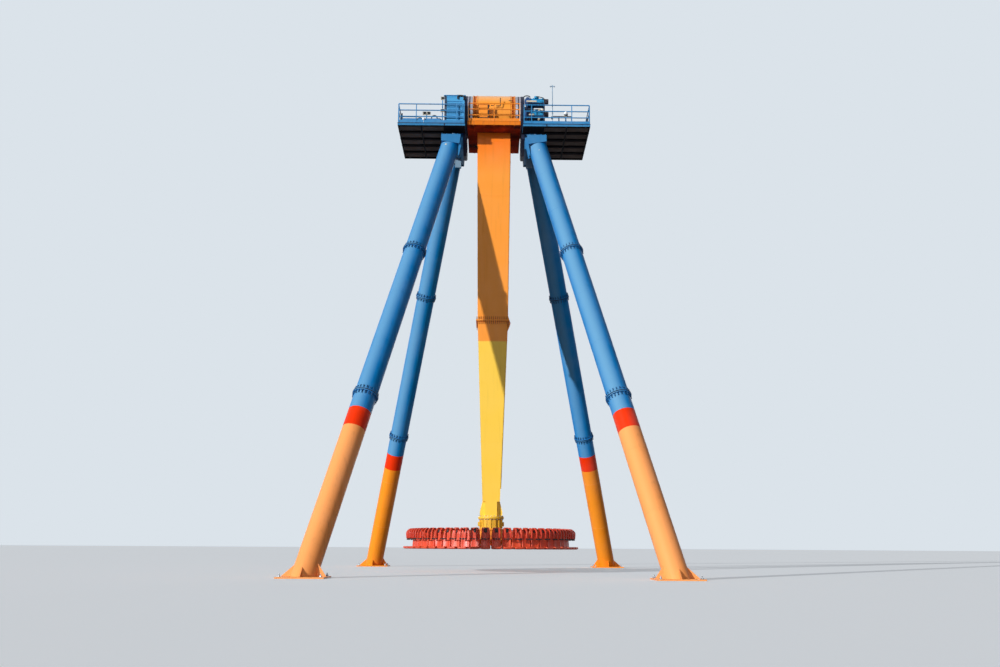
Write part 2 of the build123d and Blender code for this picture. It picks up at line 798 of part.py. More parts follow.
hub_under = drive_under - hub_drop
ring_under = drive_under - ring_drop
with BuildPart() as gondola_hub:
    with BuildSketch(Plane.XY.offset(hub_under)):
        RegularPolygon(hub_flat, gondola_arms, major_radius=False, rotation=180 / gondola_arms)
    extrude(amount=hub_deep)
    with BuildSketch(Plane.XY.offset(hub_under + hub_deep)):
        Circle(hub_flat)
    with BuildSketch(Plane.XY.offset(drive_under - thrust_gap)):
        Circle(hub_neck_r)
    loft()
gondola_hub.part.label = "gondola_hub"
export_step(gondola_hub.part, "parts/gondola_hub.step")

with BuildPart() as gondola_spokes:
    for step in range(gondola_arms):
        with BuildSketch(radial_plane(step * 360 / gondola_arms)):
            Polygon((hub_flat, hub_under), (ring_flat_in, ring_under),
                    (ring_flat_in, ring_under + ring_height), (hub_flat, hub_under + hub_deep),
                    align=None)
        extrude(amount=spoke_width / 2, both=True)
gondola_spokes.part.label = "gondola_spokes"
export_step(gondola_spokes.part, "parts/gondola_spokes.step")

ring_turn = 180 / seat_count
with BuildPart() as gondola_ring:
    with BuildSketch(Plane.XY.offset(ring_under)):
        RegularPolygon(ring_flat_out, seat_count, major_radius=False, rotation=ring_turn)
        RegularPolygon(ring_flat_in, seat_count, major_radius=False, rotation=ring_turn,
                       mode=Mode.SUBTRACT)
    extrude(amount=ring_height)
gondola_ring.part.label = "gondola_ring"
export_step(gondola_ring.part, "parts/gondola_ring.step")


# Seats: backs, pans, shoulder pads and grips; one of each is made and set out round the ring

seat_base = drive_under - seat_drop
seat_top = seat_base + seat_height
seat_shoulder = seat_base + shoulder_height
seat_front = ring_flat_out + seat_back_t
pan_top = seat_base + pan_t
pan_tip = seat_front + pan_length
back_slope = (seat_top_lean - seat_neck_lean) / (seat_top - seat_shoulder)
arm_root = seat_base + arm_root_height
arm_elbow = seat_base + arm_elbow_height
pad_end = seat_base + pad_end_height
pad_out = seat_front + restraint_reach


def back_face(height):
    """How far out the front of a seat back is at a height above the shoulders."""
    return seat_front - seat_neck_lean - back_slope * (height - seat_shoulder)


with BuildPart() as one_back:
    with BuildSketch(Plane.XZ):
        Polygon((ring_flat_out, seat_base), (seat_front, seat_base), (seat_front, pan_top),
                (back_face(seat_shoulder), seat_shoulder), (back_face(seat_top), seat_top),
                (ring_flat_out, seat_top), align=None)
    extrude(amount=seat_width / 2, both=True)
    with BuildSketch(Plane.YZ):
        Polygon((-seat_width / 2, seat_base), (seat_width / 2, seat_base),
                (seat_width / 2, seat_shoulder), (seat_head_width / 2, seat_top),
                (-seat_head_width / 2, seat_top), (-seat_width / 2, seat_shoulder), align=None)
    extrude(amount=2 * seat_front, mode=Mode.INTERSECT)

with BuildPart() as seat_backs:
    with PolarLocations(0, seat_count):
        add(one_back.part)
seat_backs.part.label = "seat_backs"
export_step(seat_backs.part, "parts/seat_backs.step")

with BuildPart() as one_pan:
    with BuildSketch(Plane.XZ):
        Polygon((seat_front, seat_base), (pan_tip - pan_nose, seat_base + pan_nose),
                (pan_tip, seat_base + 2 * pan_nose), (pan_tip, pan_top + pan_rise),
                (seat_front, pan_top), align=None)
    extrude(amount=seat_width / 2, both=True)

with BuildPart() as seat_pans:
    with PolarLocations(0, seat_count):
        add(one_pan.part)
seat_pans.part.label = "seat_pans"
export_step(seat_pans.part, "parts/seat_pans.step")

with BuildPart() as one_arm:
    with BuildSketch(Plane.XZ):
        Polygon((back_face(arm_root), arm_root), (back_face(arm_root + arm_root_t), arm_root + arm_root_t),
                (seat_front + arm_crown_reach, seat_top), (pad_out, arm_elbow),
                (pad_out - pad_thick, arm_elbow), align=None)
    extrude(amount=restraint_width / 2, both=True)

with BuildPart() as one_pad:
    with BuildSketch(Plane.XZ):
        Polygon((pad_out, arm_elbow), (pad_out - pad_lean, pad_end),
                (pad_out - pad_lean - pad_thick, pad_end), (pad_out - pad_thick, arm_elbow), align=None)
    extrude(amount=restraint_width / 2, both=True)

for name, piece in (("restraint_arms", one_arm.part), ("restraint_pads", one_pad.part)):
    with BuildPart() as pieces:
        with PolarLocations(0, seat_count):
            with Locations((0, -restraint_pair / 2), (0, restraint_pair / 2)):
                add(piece)
    pieces.part.label = name
    export_step(pieces.part, f"parts/{name}.step")

with BuildPart() as restraint_grips:
    with BuildSketch(Plane.XY.offset(pad_end - grip_height)):
        with PolarLocations(pad_out - pad_lean - pad_thick / 2, seat_count):
            Rectangle(pad_thick, grip_width)
    extrude(amount=grip_height)
restraint_grips.part.label = "restraint_grips"
export_step(restraint_grips.part, "parts/restraint_grips.step")
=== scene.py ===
from itertools import product
from math import atan2, copysign, cos, pi, radians, sin, sqrt

import bmesh
import bpy
from mathutils import Matrix, Vector


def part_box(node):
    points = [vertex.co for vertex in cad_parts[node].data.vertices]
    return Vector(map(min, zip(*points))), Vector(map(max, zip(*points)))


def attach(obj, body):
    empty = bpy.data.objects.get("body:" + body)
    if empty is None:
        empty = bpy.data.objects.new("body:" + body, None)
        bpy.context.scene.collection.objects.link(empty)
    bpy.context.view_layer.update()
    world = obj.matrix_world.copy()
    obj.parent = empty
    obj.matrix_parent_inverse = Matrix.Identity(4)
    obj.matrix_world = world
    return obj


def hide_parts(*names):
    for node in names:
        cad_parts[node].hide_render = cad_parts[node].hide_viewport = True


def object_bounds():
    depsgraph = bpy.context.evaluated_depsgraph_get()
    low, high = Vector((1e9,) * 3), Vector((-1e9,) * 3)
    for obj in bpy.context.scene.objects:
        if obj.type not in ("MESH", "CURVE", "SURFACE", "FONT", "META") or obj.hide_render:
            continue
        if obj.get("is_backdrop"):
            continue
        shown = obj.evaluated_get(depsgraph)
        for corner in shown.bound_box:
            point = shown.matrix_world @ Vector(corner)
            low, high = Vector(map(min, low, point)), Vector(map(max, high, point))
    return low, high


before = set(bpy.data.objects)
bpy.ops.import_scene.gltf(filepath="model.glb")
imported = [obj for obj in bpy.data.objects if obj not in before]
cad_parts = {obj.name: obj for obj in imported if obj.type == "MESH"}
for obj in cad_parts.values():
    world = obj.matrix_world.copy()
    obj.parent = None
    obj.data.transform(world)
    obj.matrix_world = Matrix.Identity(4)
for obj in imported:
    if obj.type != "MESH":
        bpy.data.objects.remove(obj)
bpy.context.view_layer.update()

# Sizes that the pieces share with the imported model, in metres

pivot = 24.84                       # height of the axle
foot = Vector((7.345, 12.124, 0.0))
leg_top = Vector((2.370, 1.288, 22.600))
tube_r = 0.508
flange_t = 0.055
joint_heights = (7.790, 15.600)
head_top = 23.050
deck_under = 23.315
deck_top = 23.470
deck_in = 1.560
deck_out = 5.170
deck_half_y = 2.380
bay_start = 2.650                   # where the decks' open bays begin
wall_in = 1.500
hub_deck_under = 23.540
hub_deck_top = 23.775
arm_joint = 12.980
arm_neck = 3.520
arm_foot = 2.700
arm_flange_t = 0.035
drive_under = 2.150
seat_count = 50

sides = (-1, 1)                     # left and right
ends = (-1, 1)                      # front and back
UP = Vector((0, 0, 1))
ACROSS = Vector((1, 0, 0))
BACK = Vector((0, 1, 0))


def placed(name, data):
    """A new object in the scene."""
    made = bpy.data.objects.new(name, data)
    bpy.context.scene.collection.objects.link(made)
    return made


# Camera: it stands where the photographer stood, a little below eye height, and looks up

camera_place = Vector((-0.064, -52.5, 1.25))
camera_pitch = 0.210
camera_yaw = 0.009
camera_roll = 0.006

ahead = Vector((sin(camera_yaw) * cos(camera_pitch),
                cos(camera_yaw) * cos(camera_pitch), sin(camera_pitch)))
level = Vector((cos(camera_yaw), -sin(camera_yaw), 0.0))
above = level.cross(ahead)
turned = cos(camera_roll) * level + sin(camera_roll) * above
raised = -sin(camera_roll) * level + cos(camera_roll) * above

camera_data = bpy.data.cameras.new("camera")
camera_data.sensor_fit = "HORIZONTAL"
camera_data.sensor_width = 36.0
camera_data.lens = 36.0
camera_data.clip_end = 2000.0
camera = placed("camera", camera_data)
facing = Matrix((turned, raised, -ahead)).transposed()
camera.matrix_world = Matrix.Translation(camera_place) @ facing.to_4x4()
bpy.context.scene.camera = camera


# Colours and nodes

def linear(code):
    """An sRGB hex colour as a linear one, with full opacity."""
    channels = [int(code[i:i + 2], 16) / 255 for i in (1, 3, 5)]
    return tuple(c / 12.92 if c <= 0.04045 else ((c + 0.055) / 1.055) ** 2.4 for c in channels) + (1.0,)


def add(tree, kind, inputs=None, out=0, **settings):
    """Adds a node with its settings and links. Returns one of its outputs, or the node where out is None.

    A kind without Node in its name is a shader node. An input takes a value, the socket that feeds
    it, or a list of such sockets."""
    made = tree.nodes.new(kind if "Node" in kind else "ShaderNode" + kind)
    for name, value in settings.items():
        setattr(made, name, value)
    for name, value in (inputs or {}).items():
        feeds = value if isinstance(value, list) else [value]
        for feed in feeds:
            if isinstance(feed, bpy.types.NodeSocket):
                tree.links.new(feed, made.inputs[name])
            else:
                made.inputs[name].default_value = feed
    return made if out is None or not made.outputs else made.outputs[out]


def finish(name, constants, draw):
    """A new material. draw gets its tree and the object coordinates and returns the linked inputs."""
    material = bpy.data.materials.new(name)
    material.use_nodes = True
    tree = material.node_tree
    tree.nodes.clear()
    place = add(tree, "TexCoord", out="Object")
    shader = add(tree, "BsdfPrincipled", {**constants, **draw(tree, place)})
    add(tree, "OutputMaterial", {"Surface": shader})
    return material


def over(tree, colour, top, mask, *stretch):
    """A colour with a second over it. stretch gives two levels of the mask and the shares they stand for."""
    if stretch:
        mask = add(tree, "MapRange", dict(enumerate((mask, *stretch))))
    colour, top = (linear(c) if isinstance(c, str) else c for c in (colour, top))
    return add(tree, "Mix", {0: mask, 6: colour, 7: top}, 2, data_type="RGBA")


def banded(tree, height, bands):
    """One colour, or colours by height: (lowest height, colour) from the bottom up, with crisp borders."""
    if isinstance(bands, str):
        return linear(bands)
    low, high = bands[0][0], bands[-1][0] + 1.0
    share = add(tree, "MapRange", {0: height, 1: low, 2: high})
    ramp = add(tree, "ValToRGB", {"Fac": share}, None)
    stops = ramp.color_ramp.elements
    ramp.color_ramp.interpolation = "CONSTANT"
    for index, (start, code) in enumerate(bands):
        share = (start - low) / (high - low)
        stop = stops[0] if index == 0 else stops.new(share)
        stop.position = share
        stop.color = linear(code)
    stops.remove(stops[-1])
    return ramp.outputs["Color"]


def drawn_out(tree, place, stretch, scale=1.0, detail=5.0, roughness=0.5):
    """Noise whose pattern is finer along some axes than along the others."""
    spot = add(tree, "Mapping", {"Vector": place, "Scale": stretch})
    return add(tree, "TexNoise", {"Vector": spot, "Scale": scale, "Detail": detail, "Roughness": roughness})


def dimpled(tree, place):
    """Roller dimples, 30 mm across, drawn coarser than the real 3 mm so that they show."""
    dimples = add(tree, "TexNoise", {"Vector": place, "Scale": 34.0, "Detail": 2.0})
    return add(tree, "Bump", {"Height": dimples, "Strength": 0.10, "Distance": 0.004})


def upward(tree, normal="Normal"):
    """How far a face looks up, from -1 to 1."""
    return add(tree, "SeparateXYZ", {0: add(tree, "NewGeometry", out=normal)}, "Z")


def off_centre(tree, place, axis="X"):
    """Distance from the ride's middle plane: the one between its sides, or for Y between front and back."""
    along = add(tree, "SeparateXYZ", {0: place}, axis)
    return add(tree, "Math", {0: along}, operation="ABSOLUTE")


def along_leg(tree, place):
    """Height along a leg's own axis, the same for all four, so that the bands lie square to the tube."""
    away = (leg_top - foot).normalized()
    total = None
    for axis, lean, start in zip("XYZ", away, foot):
        part = add(tree, "Math", {0: off_centre(tree, place, axis), 1: start}, operation="SUBTRACT")
        part = add(tree, "Math", {0: part, 1: lean * away.z}, operation="MULTIPLY")
        total = part if total is None else add(tree, "Math", {0: total, 1: part})
    # the bands sit 0.1 m higher on the front legs and 0.1 m lower on the back legs
    end = add(tree, "Math", {0: add(tree, "SeparateXYZ", {0: place}, "Y")}, operation="SIGN")
    return add(tree, "Math", {0: end, 1: 0.1, 2: total}, operation="MULTIPLY_ADD")


toward_sun = (-0.42, -0.90, 0.10)    # of unit length, near enough


def coated(name, bands, height=None, pale=None, under=None, deck_shade=None, gloss=0.36, wear=0.7, shine=0.16):
    """Two-part polyurethane gloss rolled on welded steel, some years in the sun.

    The eye gets a smooth coat that has chalked in broad patches, thin grey run-off streaks, a few
    rust freckles and the soft dimples of the roller. pale gives the bands in a painted sunlit sheen
    on the side that faces the sun, under the painted shade colour of the faces that look down, and
    the deck shade two heights and the darker colour painted above them as the shade under a deck."""

    def draw(tree, place):
        rise = add(tree, "SeparateXYZ", {0: place}, "Z")
        level = height(tree, place) if height else rise
        colour = banded(tree, level, bands)
        # painted shade: above the given heights the colour turns to a darker one, for the shade under a deck
        if deck_shade:
            start, stop, shade_colour = deck_shade
            colour = over(tree, colour, shade_colour, rise, start, stop, 0.0, 1.0)
        # chalked patches, 1.5 to 3 m across
        patches = add(tree, "TexNoise", {"Vector": place, "Scale": 0.55, "Detail": 4.0})
        colour = over(tree, colour, "#f2ede2", patches, 0.42, 0.75, 0.0, 0.09 * wear)
        colour = over(tree, colour, "#101418", patches, 0.25, 0.45, 0.10 * wear, 0.0)
        # run-off streaks, 60 to 150 mm wide and some metres long
        streaks = drawn_out(tree, place, (7.0, 7.0, 0.35), roughness=0.62)
        colour = over(tree, colour, "#2a2a2c", streaks, 0.54, 0.80, 0.0, 0.34 * wear)
        # rust freckles, 15 to 40 mm, drawn coarser than the real 5 mm so that they show
        freckles = add(tree, "TexNoise", {"Vector": place, "Scale": 11.0, "Detail": 3.0})
        colour = over(tree, colour, "#6e3b20", freckles, 0.735, 0.775, 0.0, 0.75 * wear)
        # painted highlight: faces turned towards the sun take the pale bands, a sunlit sheen painted into the colour
        if pale:
            normal = add(tree, "NewGeometry", out="Normal")
            sunward = add(tree, "VectorMath", {0: normal, 1: toward_sun}, "Value", operation="DOT_PRODUCT")
            colour = over(tree, colour, banded(tree, level, pale), sunward, 0.62, 0.97, 0.0, 1.0)
        # painted shade: faces that look down take the under colour
        if under:
            colour = over(tree, colour, under, upward(tree, "True Normal"), -0.5, -0.8, 0.0, 1.0)
        roughness = add(tree, "MapRange", {0: streaks, 1: 0.3, 2: 0.75, 3: gloss - 0.06, 4: gloss + 0.22})
        return {"Base Color": colour, "Roughness": roughness, "Normal": dimpled(tree, place)}

    return finish(name, {"Specular IOR Level": shine}, draw)


def bare(name, code, dull, roughness, scale=(3.0, 3.0, 3.0), metallic=1.0):
    """Unpainted metal: spangle or tool marks that run along the stretched way of the pattern."""

    def draw(tree, place):
        marks = drawn_out(tree, place, scale, 6.0, 6.0, 0.7)
        return {"Base Color": over(tree, code, dull, marks, 0.35, 0.65, 0.0, 0.8),
                "Roughness": add(tree, "MapRange", {0: marks, 1: 0.3, 2: 0.7, 3: roughness - 0.08,
                                                    4: roughness + 0.14}),
                "Normal": add(tree, "Bump", {"Height": marks, "Strength": 0.12, "Distance": 0.002})}

    return finish(name, {"Metallic": metallic}, draw)


def moulded(name, code, dull, roughness, grain, depth):
    """Moulded plastic or skinned foam: one colour through, faded on its upper faces, with a fine grain."""

    def draw(tree, place):
        patches = add(tree, "TexNoise", {"Vector": place, "Scale": 1.4, "Detail": 3.0})
        fade = add(tree, "Math", {
            0: add(tree, "MapRange", {0: patches, 1: 0.35, 2: 0.7, 3: 0.0, 4: 0.35}),
            1: add(tree, "MapRange", {0: upward(tree), 1: 0.1, 2: 0.95, 3: 0.0, 4: 0.25})})
        pores = add(tree, "TexVoronoi", {"Vector": place, "Scale": grain})
        return {"Base Color": over(tree, code, dull, fade),
                "Roughness": add(tree, "MapRange", {0: patches, 1: 0.3, 2: 0.7, 3: roughness - 0.05,
                                                    4: roughness + 0.1}),
                "Normal": add(tree, "Bump", {"Height": pores, "Strength": 0.15, "Distance": depth})}

    return finish(name, {}, draw)


def drum_coat(tree, place):
    """The hub drum: an orange gloss coat, with the bare machined rings beyond the flanges.

    The eye gets a painted reflection of the sky, paler on the crown, brown run-off, a darker flange and a weld seam."""
    apart = off_centre(tree, place)
    outside = add(tree, "MapRange", {0: apart, 1: 1.180, 2: 1.182})
    patches = add(tree, "TexNoise", {"Vector": place, "Scale": 1.1, "Detail": 4.0})
    paint = over(tree, "#ffa033", "#ffc98a", patches, 0.4, 0.75, 0.0, 0.12)
    streaks = drawn_out(tree, place, (9.0, 4.0, 0.8))
    paint = over(tree, paint, "#7a3a14", streaks, 0.55, 0.8, 0.0, 0.22)
    # Painted reflection: faces that look up are mixed towards pale cream, for the sky seen in the gloss
    paint = over(tree, paint, "#ffd0a0", upward(tree), 0.35, 0.75, 0.0, 0.5)
    paint = over(tree, paint, "#8a4012", apart, 1.115, 1.119, 0.0, 0.4)
    seam = add(tree, "Math", {0: apart, 1: 0.905, 2: 0.009}, operation="COMPARE")
    paint = over(tree, paint, "#9a4f18", seam)
    return {"Base Color": over(tree, paint, "#b6b4be", outside),
            "Metallic": add(tree, "MapRange", {0: outside, 4: 0.85}),
            "Roughness": add(tree, "MapRange", {0: streaks, 1: 0.3, 2: 0.75, 3: 0.30, 4: 0.55}),
            "Normal": dimpled(tree, place)}


def treaded(name, fascia, chalk, top, under, bays=None):
    """The service decks: gloss fascia, checker plate on top, and bays and an underside painted dark as shade.

    bays gives how far the bays reach: from and to along the axle, then across it."""

    def draw(tree, place):
        up = upward(tree, "True Normal")
        patches = add(tree, "TexNoise", {"Vector": place, "Scale": 0.8, "Detail": 4.0})
        side = over(tree, fascia, chalk, patches, 0.4, 0.75, 0.0, 0.1)
        streaks = drawn_out(tree, place, (9.0, 9.0, 1.2))
        side = over(tree, side, "#1d2b38", streaks, 0.52, 0.8, 0.0, 0.4)
        # tread lozenges, 80 mm by 40 mm, drawn coarser than the real 30 mm, worn pale on their crowns
        spot = add(tree, "Mapping", {"Vector": place, "Rotation": (0.0, 0.0, radians(45)),
                                               "Scale": (12.0, 24.0, 1.0)})
        cells = add(tree, "TexVoronoi", {"Vector": spot, "Scale": 1.0, "Randomness": 0.0},
                    voronoi_dimensions="2D")
        crowns = add(tree, "MapRange", {0: cells, 1: 0.18, 2: 0.30, 3: 1.0, 4: 0.0})
        upper = add(tree, "MapRange", {0: up, 1: 0.5, 2: 0.8})
        colour = over(tree, side, over(tree, top, "#8b98a6", crowns), upper)
        # Painted shade: the underside colour darkens towards near black in patches, for the faces that look down
        painted_shade = over(tree, under, "#0e0d14", patches, 0.35, 0.65, 0.0, 1.0)
        colour = over(tree, colour, painted_shade, up, -0.5, -0.8, 0.0, 1.0)
        # Painted shade: the faces inside the open bays get the same dark underside colour
        if bays:
            inside = None
            for axis, limit, start, stop in zip("XXY", bays, (0.0, 1.0, 1.0), (1.0, 0.0, 0.0)):
                test = add(tree, "MapRange", {0: off_centre(tree, place, axis), 1: limit - 0.001,
                                                        2: limit + 0.001, 3: start, 4: stop})
                if inside is not None:
                    test = add(tree, "Math", {0: inside, 1: test}, operation="MULTIPLY")
                inside = test
            flat = add(tree, "Math", {0: inside, 1: upper}, operation="SUBTRACT", use_clamp=True)
            colour = over(tree, colour, painted_shade, flat)
        tread = add(tree, "Math", {0: crowns, 1: upper}, operation="MULTIPLY")
        rough = add(tree, "Math", {
            0: add(tree, "MapRange", {0: streaks, 1: 0.3, 2: 0.75, 3: 0.40, 4: 0.62}),
            1: add(tree, "MapRange", {0: up, 1: -0.5, 2: -0.8, 3: 0.0, 4: 0.35})}, use_clamp=True)
        return {"Base Color": colour, "Roughness": rough,
                "Normal": add(tree, "Bump", {"Height": tread, "Strength": 0.5, "Distance": 0.005})}

    return finish(name, {"Specular IOR Level": 0.1}, draw)


# Finishes

# The front legs' feet are a paler orange than the back legs'. pale is a painted sunlit sheen: lighter bands on the
# faces that look towards the sun.
leg_lower_paint = coated("gloss_paint_leg_foot_front_paler", [(-1.0, "#ffa25a"), (6.05, "#e83000"), (6.86, "#0c80c8")],
                         along_leg, pale=[(-1.0, "#ffaa62"), (6.05, "#f63600"), (6.86, "#669ec6")])
back_foot_paint = coated("gloss_paint_leg_foot_deep", [(-1.0, "#f58c18"), (6.05, "#e83000"), (6.86, "#0c80c8")],
                         along_leg, pale=[(-1.0, "#ff9a26"), (6.05, "#f63600"), (6.86, "#669ec6")])
leg_blue_paint = coated("gloss_paint_leg_blue", "#0c80c8", pale="#669ec6", shine=0.06)
# Painted shade: the bearing wall, within 1.672 m of the middle, is a near-black navy for the shade of its recess
# beside the hub
head_blue_paint = coated("gloss_paint_head_blue", [(0.0, "#0c1b38"), (1.672, "#2f7cb2")], off_centre)
bearing_paint = coated("gloss_paint_bearing_grey", "#4d6688", gloss=0.42)
rail_blue_paint = coated("gloss_paint_rail_blue", "#2f83bb")
cabinet_paint = coated("powder_coat_cabinet_blue", "#419fd6", gloss=0.5, wear=0.5)
drive_frame_paint = coated("gloss_paint_stand_navy", "#1f3f66", gloss=0.45)
drive_motor_paint = coated("hammer_paint_motor_teal", [(0.0, "#2c4f80"), (2.015, "#2f9acc"), (2.690, "#3b3440")],
                           off_centre, gloss=0.4)
# Dark navy for real fittings, and for the strips and rings that are painted shade
dark_fitting_and_shade_paint = coated("gloss_paint_fitting_and_shade_navy", "#15304f", gloss=0.42, wear=0.6)
hub_drum_paint = finish("gloss_paint_hub_drum", {"Specular IOR Level": 0.2}, drum_coat)
# Painted shade: the faces that look down are a darker red
hub_orange_paint = coated("gloss_paint_hub_orange", "#ff9c35", under="#b83a16")
# Painted shade: from 21.1 m up the arm turns a deeper orange, for the shade under the hub deck
arm_orange_paint = coated("gloss_paint_arm_orange", "#ff9c32", deck_shade=(21.1, 22.9, "#fd7d0a"), wear=0.35, shine=0.24)
arm_yellow_paint = coated("gloss_paint_arm_two_tone", [(-1.0, "#ffcf46"), (11.83, "#ff9c32")], wear=0.35, shine=0.24)
drive_housing_paint = coated("gloss_paint_drive_housing", "#e8b53a", gloss=0.42)
gondola_paint = coated("gloss_paint_gondola_orange", "#f08a2c")
panel_paint = coated("gloss_paint_low_panel", "#2f80bb")
stud_paint = coated("gloss_paint_flange_studs", "#9a5218")
hub_stud_paint = coated("gloss_paint_hub_studs", "#d5782c")
leg_stud_paint = coated("gloss_paint_leg_studs", "#1c5484")
ring_steel = coated("greased_ring_steel", [(0.0, "#1d1b22"), (1.372, "#9c98a6"), (1.462, "#1d1b22")], off_centre,
                    gloss=0.4)
# Painted highlight: the end posts, beyond 1.38 m from the middle, are a pale cream for their sunlit sides
hub_rail_paint = coated("gloss_paint_hub_rail", [(0.0, "#f28a28"), (1.380, "#ffcf98")], off_centre, wear=0.6)
plate_paint = coated("gloss_paint_hanger_grey", "#7f9cb0", wear=0.6)
lamp_shell = coated("powder_coat_lamp_cream", "#d9cfb8", gloss=0.5, wear=0.8)
zinc = bare("hot_dip_zinc", "#a9adb0", "#7f858a", 0.46)
turned_steel = bare("turned_axle_steel", "#9c9a98", "#6f6c6a", 0.28, (30.0, 1.0, 1.0))
aluminium = bare("weathered_mast_aluminium", "#7f95a8", "#5f7488", 0.45, (1.0, 1.0, 20.0), 0.5)
grating_zinc = moulded("galvanised_grating_rust_brown", "#8c7a72", "#5a4c46", 0.8, 60.0, 0.001)
seat_plastic = moulded("moulded_seat_shell_red", "#d6401f", "#e8683a", 0.42, 240.0, 0.0006)
foam_skin = moulded("skinned_foam_black", "#1d1d1f", "#2c2b2c", 0.62, 160.0, 0.001)
red_foam_skin = moulded("skinned_foam_red", "#cf3318", "#dd5a35", 0.45, 160.0, 0.001)
# Ribbed black rubber, also used for the dark bars painted as the hub cabinet's shade
rubber_and_painted_shade = moulded("ribbed_rubber_and_painted_shade_black", "#151516", "#242424", 0.7, 120.0, 0.001)
lamp_glass = moulded("tinted_lamp_glass", "#1a222b", "#2a333c", 0.12, 60.0, 0.0002)
beacon_lens = moulded("frosted_beacon_lens", "#f4f6f8", "#dfe5ea", 0.3, 80.0, 0.0003)
# The last colour of each deck finish is the painted shade of its underside
deck_paint = treaded("gloss_paint_and_checker_plate_blue", "#3682b5", "#84b0d0", "#47586a", "#0c0c10",
                     (bay_start + 0.010, deck_out - 0.010, deck_half_y - 0.010))
hub_deck_paint = treaded("gloss_paint_and_checker_plate_orange", "#e87c1c", "#f29c4c", "#8a5a34", "#d8481e")

# Each CAD node gets the first finish whose start and end of the name fit

node_finish = (
    ("leg_back", "_lower", back_foot_paint), ("leg_", "_lower", leg_lower_paint), ("leg_", "", leg_blue_paint),
    ("head_", "", head_blue_paint), ("bearing_", "", bearing_paint), ("slew_ring", "", ring_steel),
    ("platform_", "", deck_paint), ("rails_", "", rail_blue_paint), ("cabinet_", "", cabinet_paint),
    ("drive_stand", "", drive_frame_paint), ("gear_motors", "", drive_motor_paint), ("lamps", "", lamp_shell),
    ("mast", "", aluminium), ("axle", "", turned_steel), ("hub_platform", "", hub_deck_paint),
    ("hub_drum", "", hub_drum_paint), ("hub_rails", "", hub_rail_paint), ("hub_", "", hub_orange_paint),
    ("arm_upper", "", arm_orange_paint), ("arm_", "", arm_yellow_paint),
    ("gondola_drive", "", drive_housing_paint), ("gondola_", "", gondola_paint), ("seat_", "", seat_plastic),
    ("restraint_", "", red_foam_skin))
for node_name, node_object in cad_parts.items():
    chosen = next(m for start, end, m in node_finish if node_name.startswith(start) and node_name.endswith(end))
    for slot in node_object.material_slots:
        slot.material = chosen


# Shapes

def lofted(bm, sections, capped=True):
    """A skin over closed sections, each a list of points in the same order."""
    rings = [[bm.verts.new(p) for p in section] for section in sections]
    for lower, upper in zip(rings, rings[1:]):
        for i in range(len(lower)):
            j = (i + 1) % len(lower)
            bm.faces.new((lower[i], lower[j], upper[j], upper[i]))
    if capped:
        bm.faces.new(rings[0][::-1])
        bm.faces.new(rings[-1])


def bent(points, radius):
    """The same line of points with each corner rounded to a radius."""
    steps = 5
    points = [Vector(p) for p in points]
    line = [points[0]]
    for before, corner, after in zip(points, points[1:], points[2:]):
        back, on = (before - corner), (after - corner)
        reach = min(radius, back.length / 2, on.length / 2)
        start, stop = corner + back.normalized() * reach, corner + on.normalized() * reach
        for step in range(steps + 1):
            t = step / steps
            line.append((1 - t) ** 2 * start + 2 * t * (1 - t) * corner + t * t * stop)
    return line + [points[-1]]


def pipe(bm, points, radius, corner=0.0):
    """A round bar along a line of points, bent to a radius at its corners and closed at its ends."""
    count = 8
    points = bent(points, corner) if corner else [Vector(p) for p in points]
    side = (points[1] - points[0]).orthogonal().normalized()
    sections = []
    for index, point in enumerate(points):
        run = (points[min(index + 1, len(points) - 1)] - points[max(index - 1, 0)]).normalized()
        side = (side - run * side.dot(run)).normalized()
        across = run.cross(side)
        sections.append([point + radius * (cos(a) * side + sin(a) * across)
                         for a in (2 * pi * k / count for k in range(count))])
    lofted(bm, sections)


def chamfered(bm, centre, size, cut, turn=Matrix.Identity(3)):
    """A box with its edges cut, turned about its centre."""
    half = [s / 2 for s in size]
    corners = []
    for signs in product((-1, 1), repeat=3):
        for axis in range(3):
            corner = [s * (h - cut) for s, h in zip(signs, half)]
            corner[axis] = signs[axis] * half[axis]
            corners.append(bm.verts.new(turn @ Vector(corner) + Vector(centre)))
    bmesh.ops.convex_hull(bm, input=corners)


def circle(centre, axis, radius, count=48):
    """Points round a circle square to an axis."""
    axis = Vector(axis).normalized()
    side = axis.orthogonal().normalized()
    across = axis.cross(side)
    return [Vector(centre) + radius * (cos(a) * side + sin(a) * across)
            for a in (2 * pi * k / count for k in range(count))]


def turned_part(bm, base, axis, rows, count):
    """A round piece about an axis. rows gives distances along the axis and the radius at each."""
    lofted(bm, [circle(Vector(base) + Vector(axis) * rise, axis, radius, count) for rise, radius in rows])


def meshed(name, bm):
    """The mesh of a bmesh, faces outwards and softly shaded."""
    mesh = bpy.data.meshes.new(name)
    bmesh.ops.recalc_face_normals(bm, faces=bm.faces)
    bm.to_mesh(mesh)
    bm.free()
    return shaded(mesh)


def shaded(mesh):
    """The same mesh, soft but for the edges that are sharper than 35 degrees."""
    mesh.shade_smooth()
    mesh.set_sharp_from_angle(angle=radians(35))
    return mesh


def piece(name, shape, body, material, slot_name, *replaced):
    """A finished piece on its body, standing for the nodes that it replaces; slot_name is not used."""
    mesh = meshed(name, shape) if isinstance(shape, bmesh.types.BMesh) else shape
    made = placed(name, mesh)
    mesh.materials.clear()
    mesh.materials.append(material)
    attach(made, body)
    if replaced:
        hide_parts(*replaced)
    return made


def evaluated(mesh, kind, prepare):
    """The plain mesh that a modifier makes from a mesh. prepare sets the modifier's inputs."""
    carrier = placed("carrier", mesh)
    prepare(carrier.modifiers.new("shaping", kind))
    result = bpy.data.meshes.new_from_object(carrier.evaluated_get(bpy.context.evaluated_depsgraph_get()))
    carrier.modifiers.clear()
    bpy.data.objects.remove(carrier)
    return result


# Repeats, made by Geometry Nodes

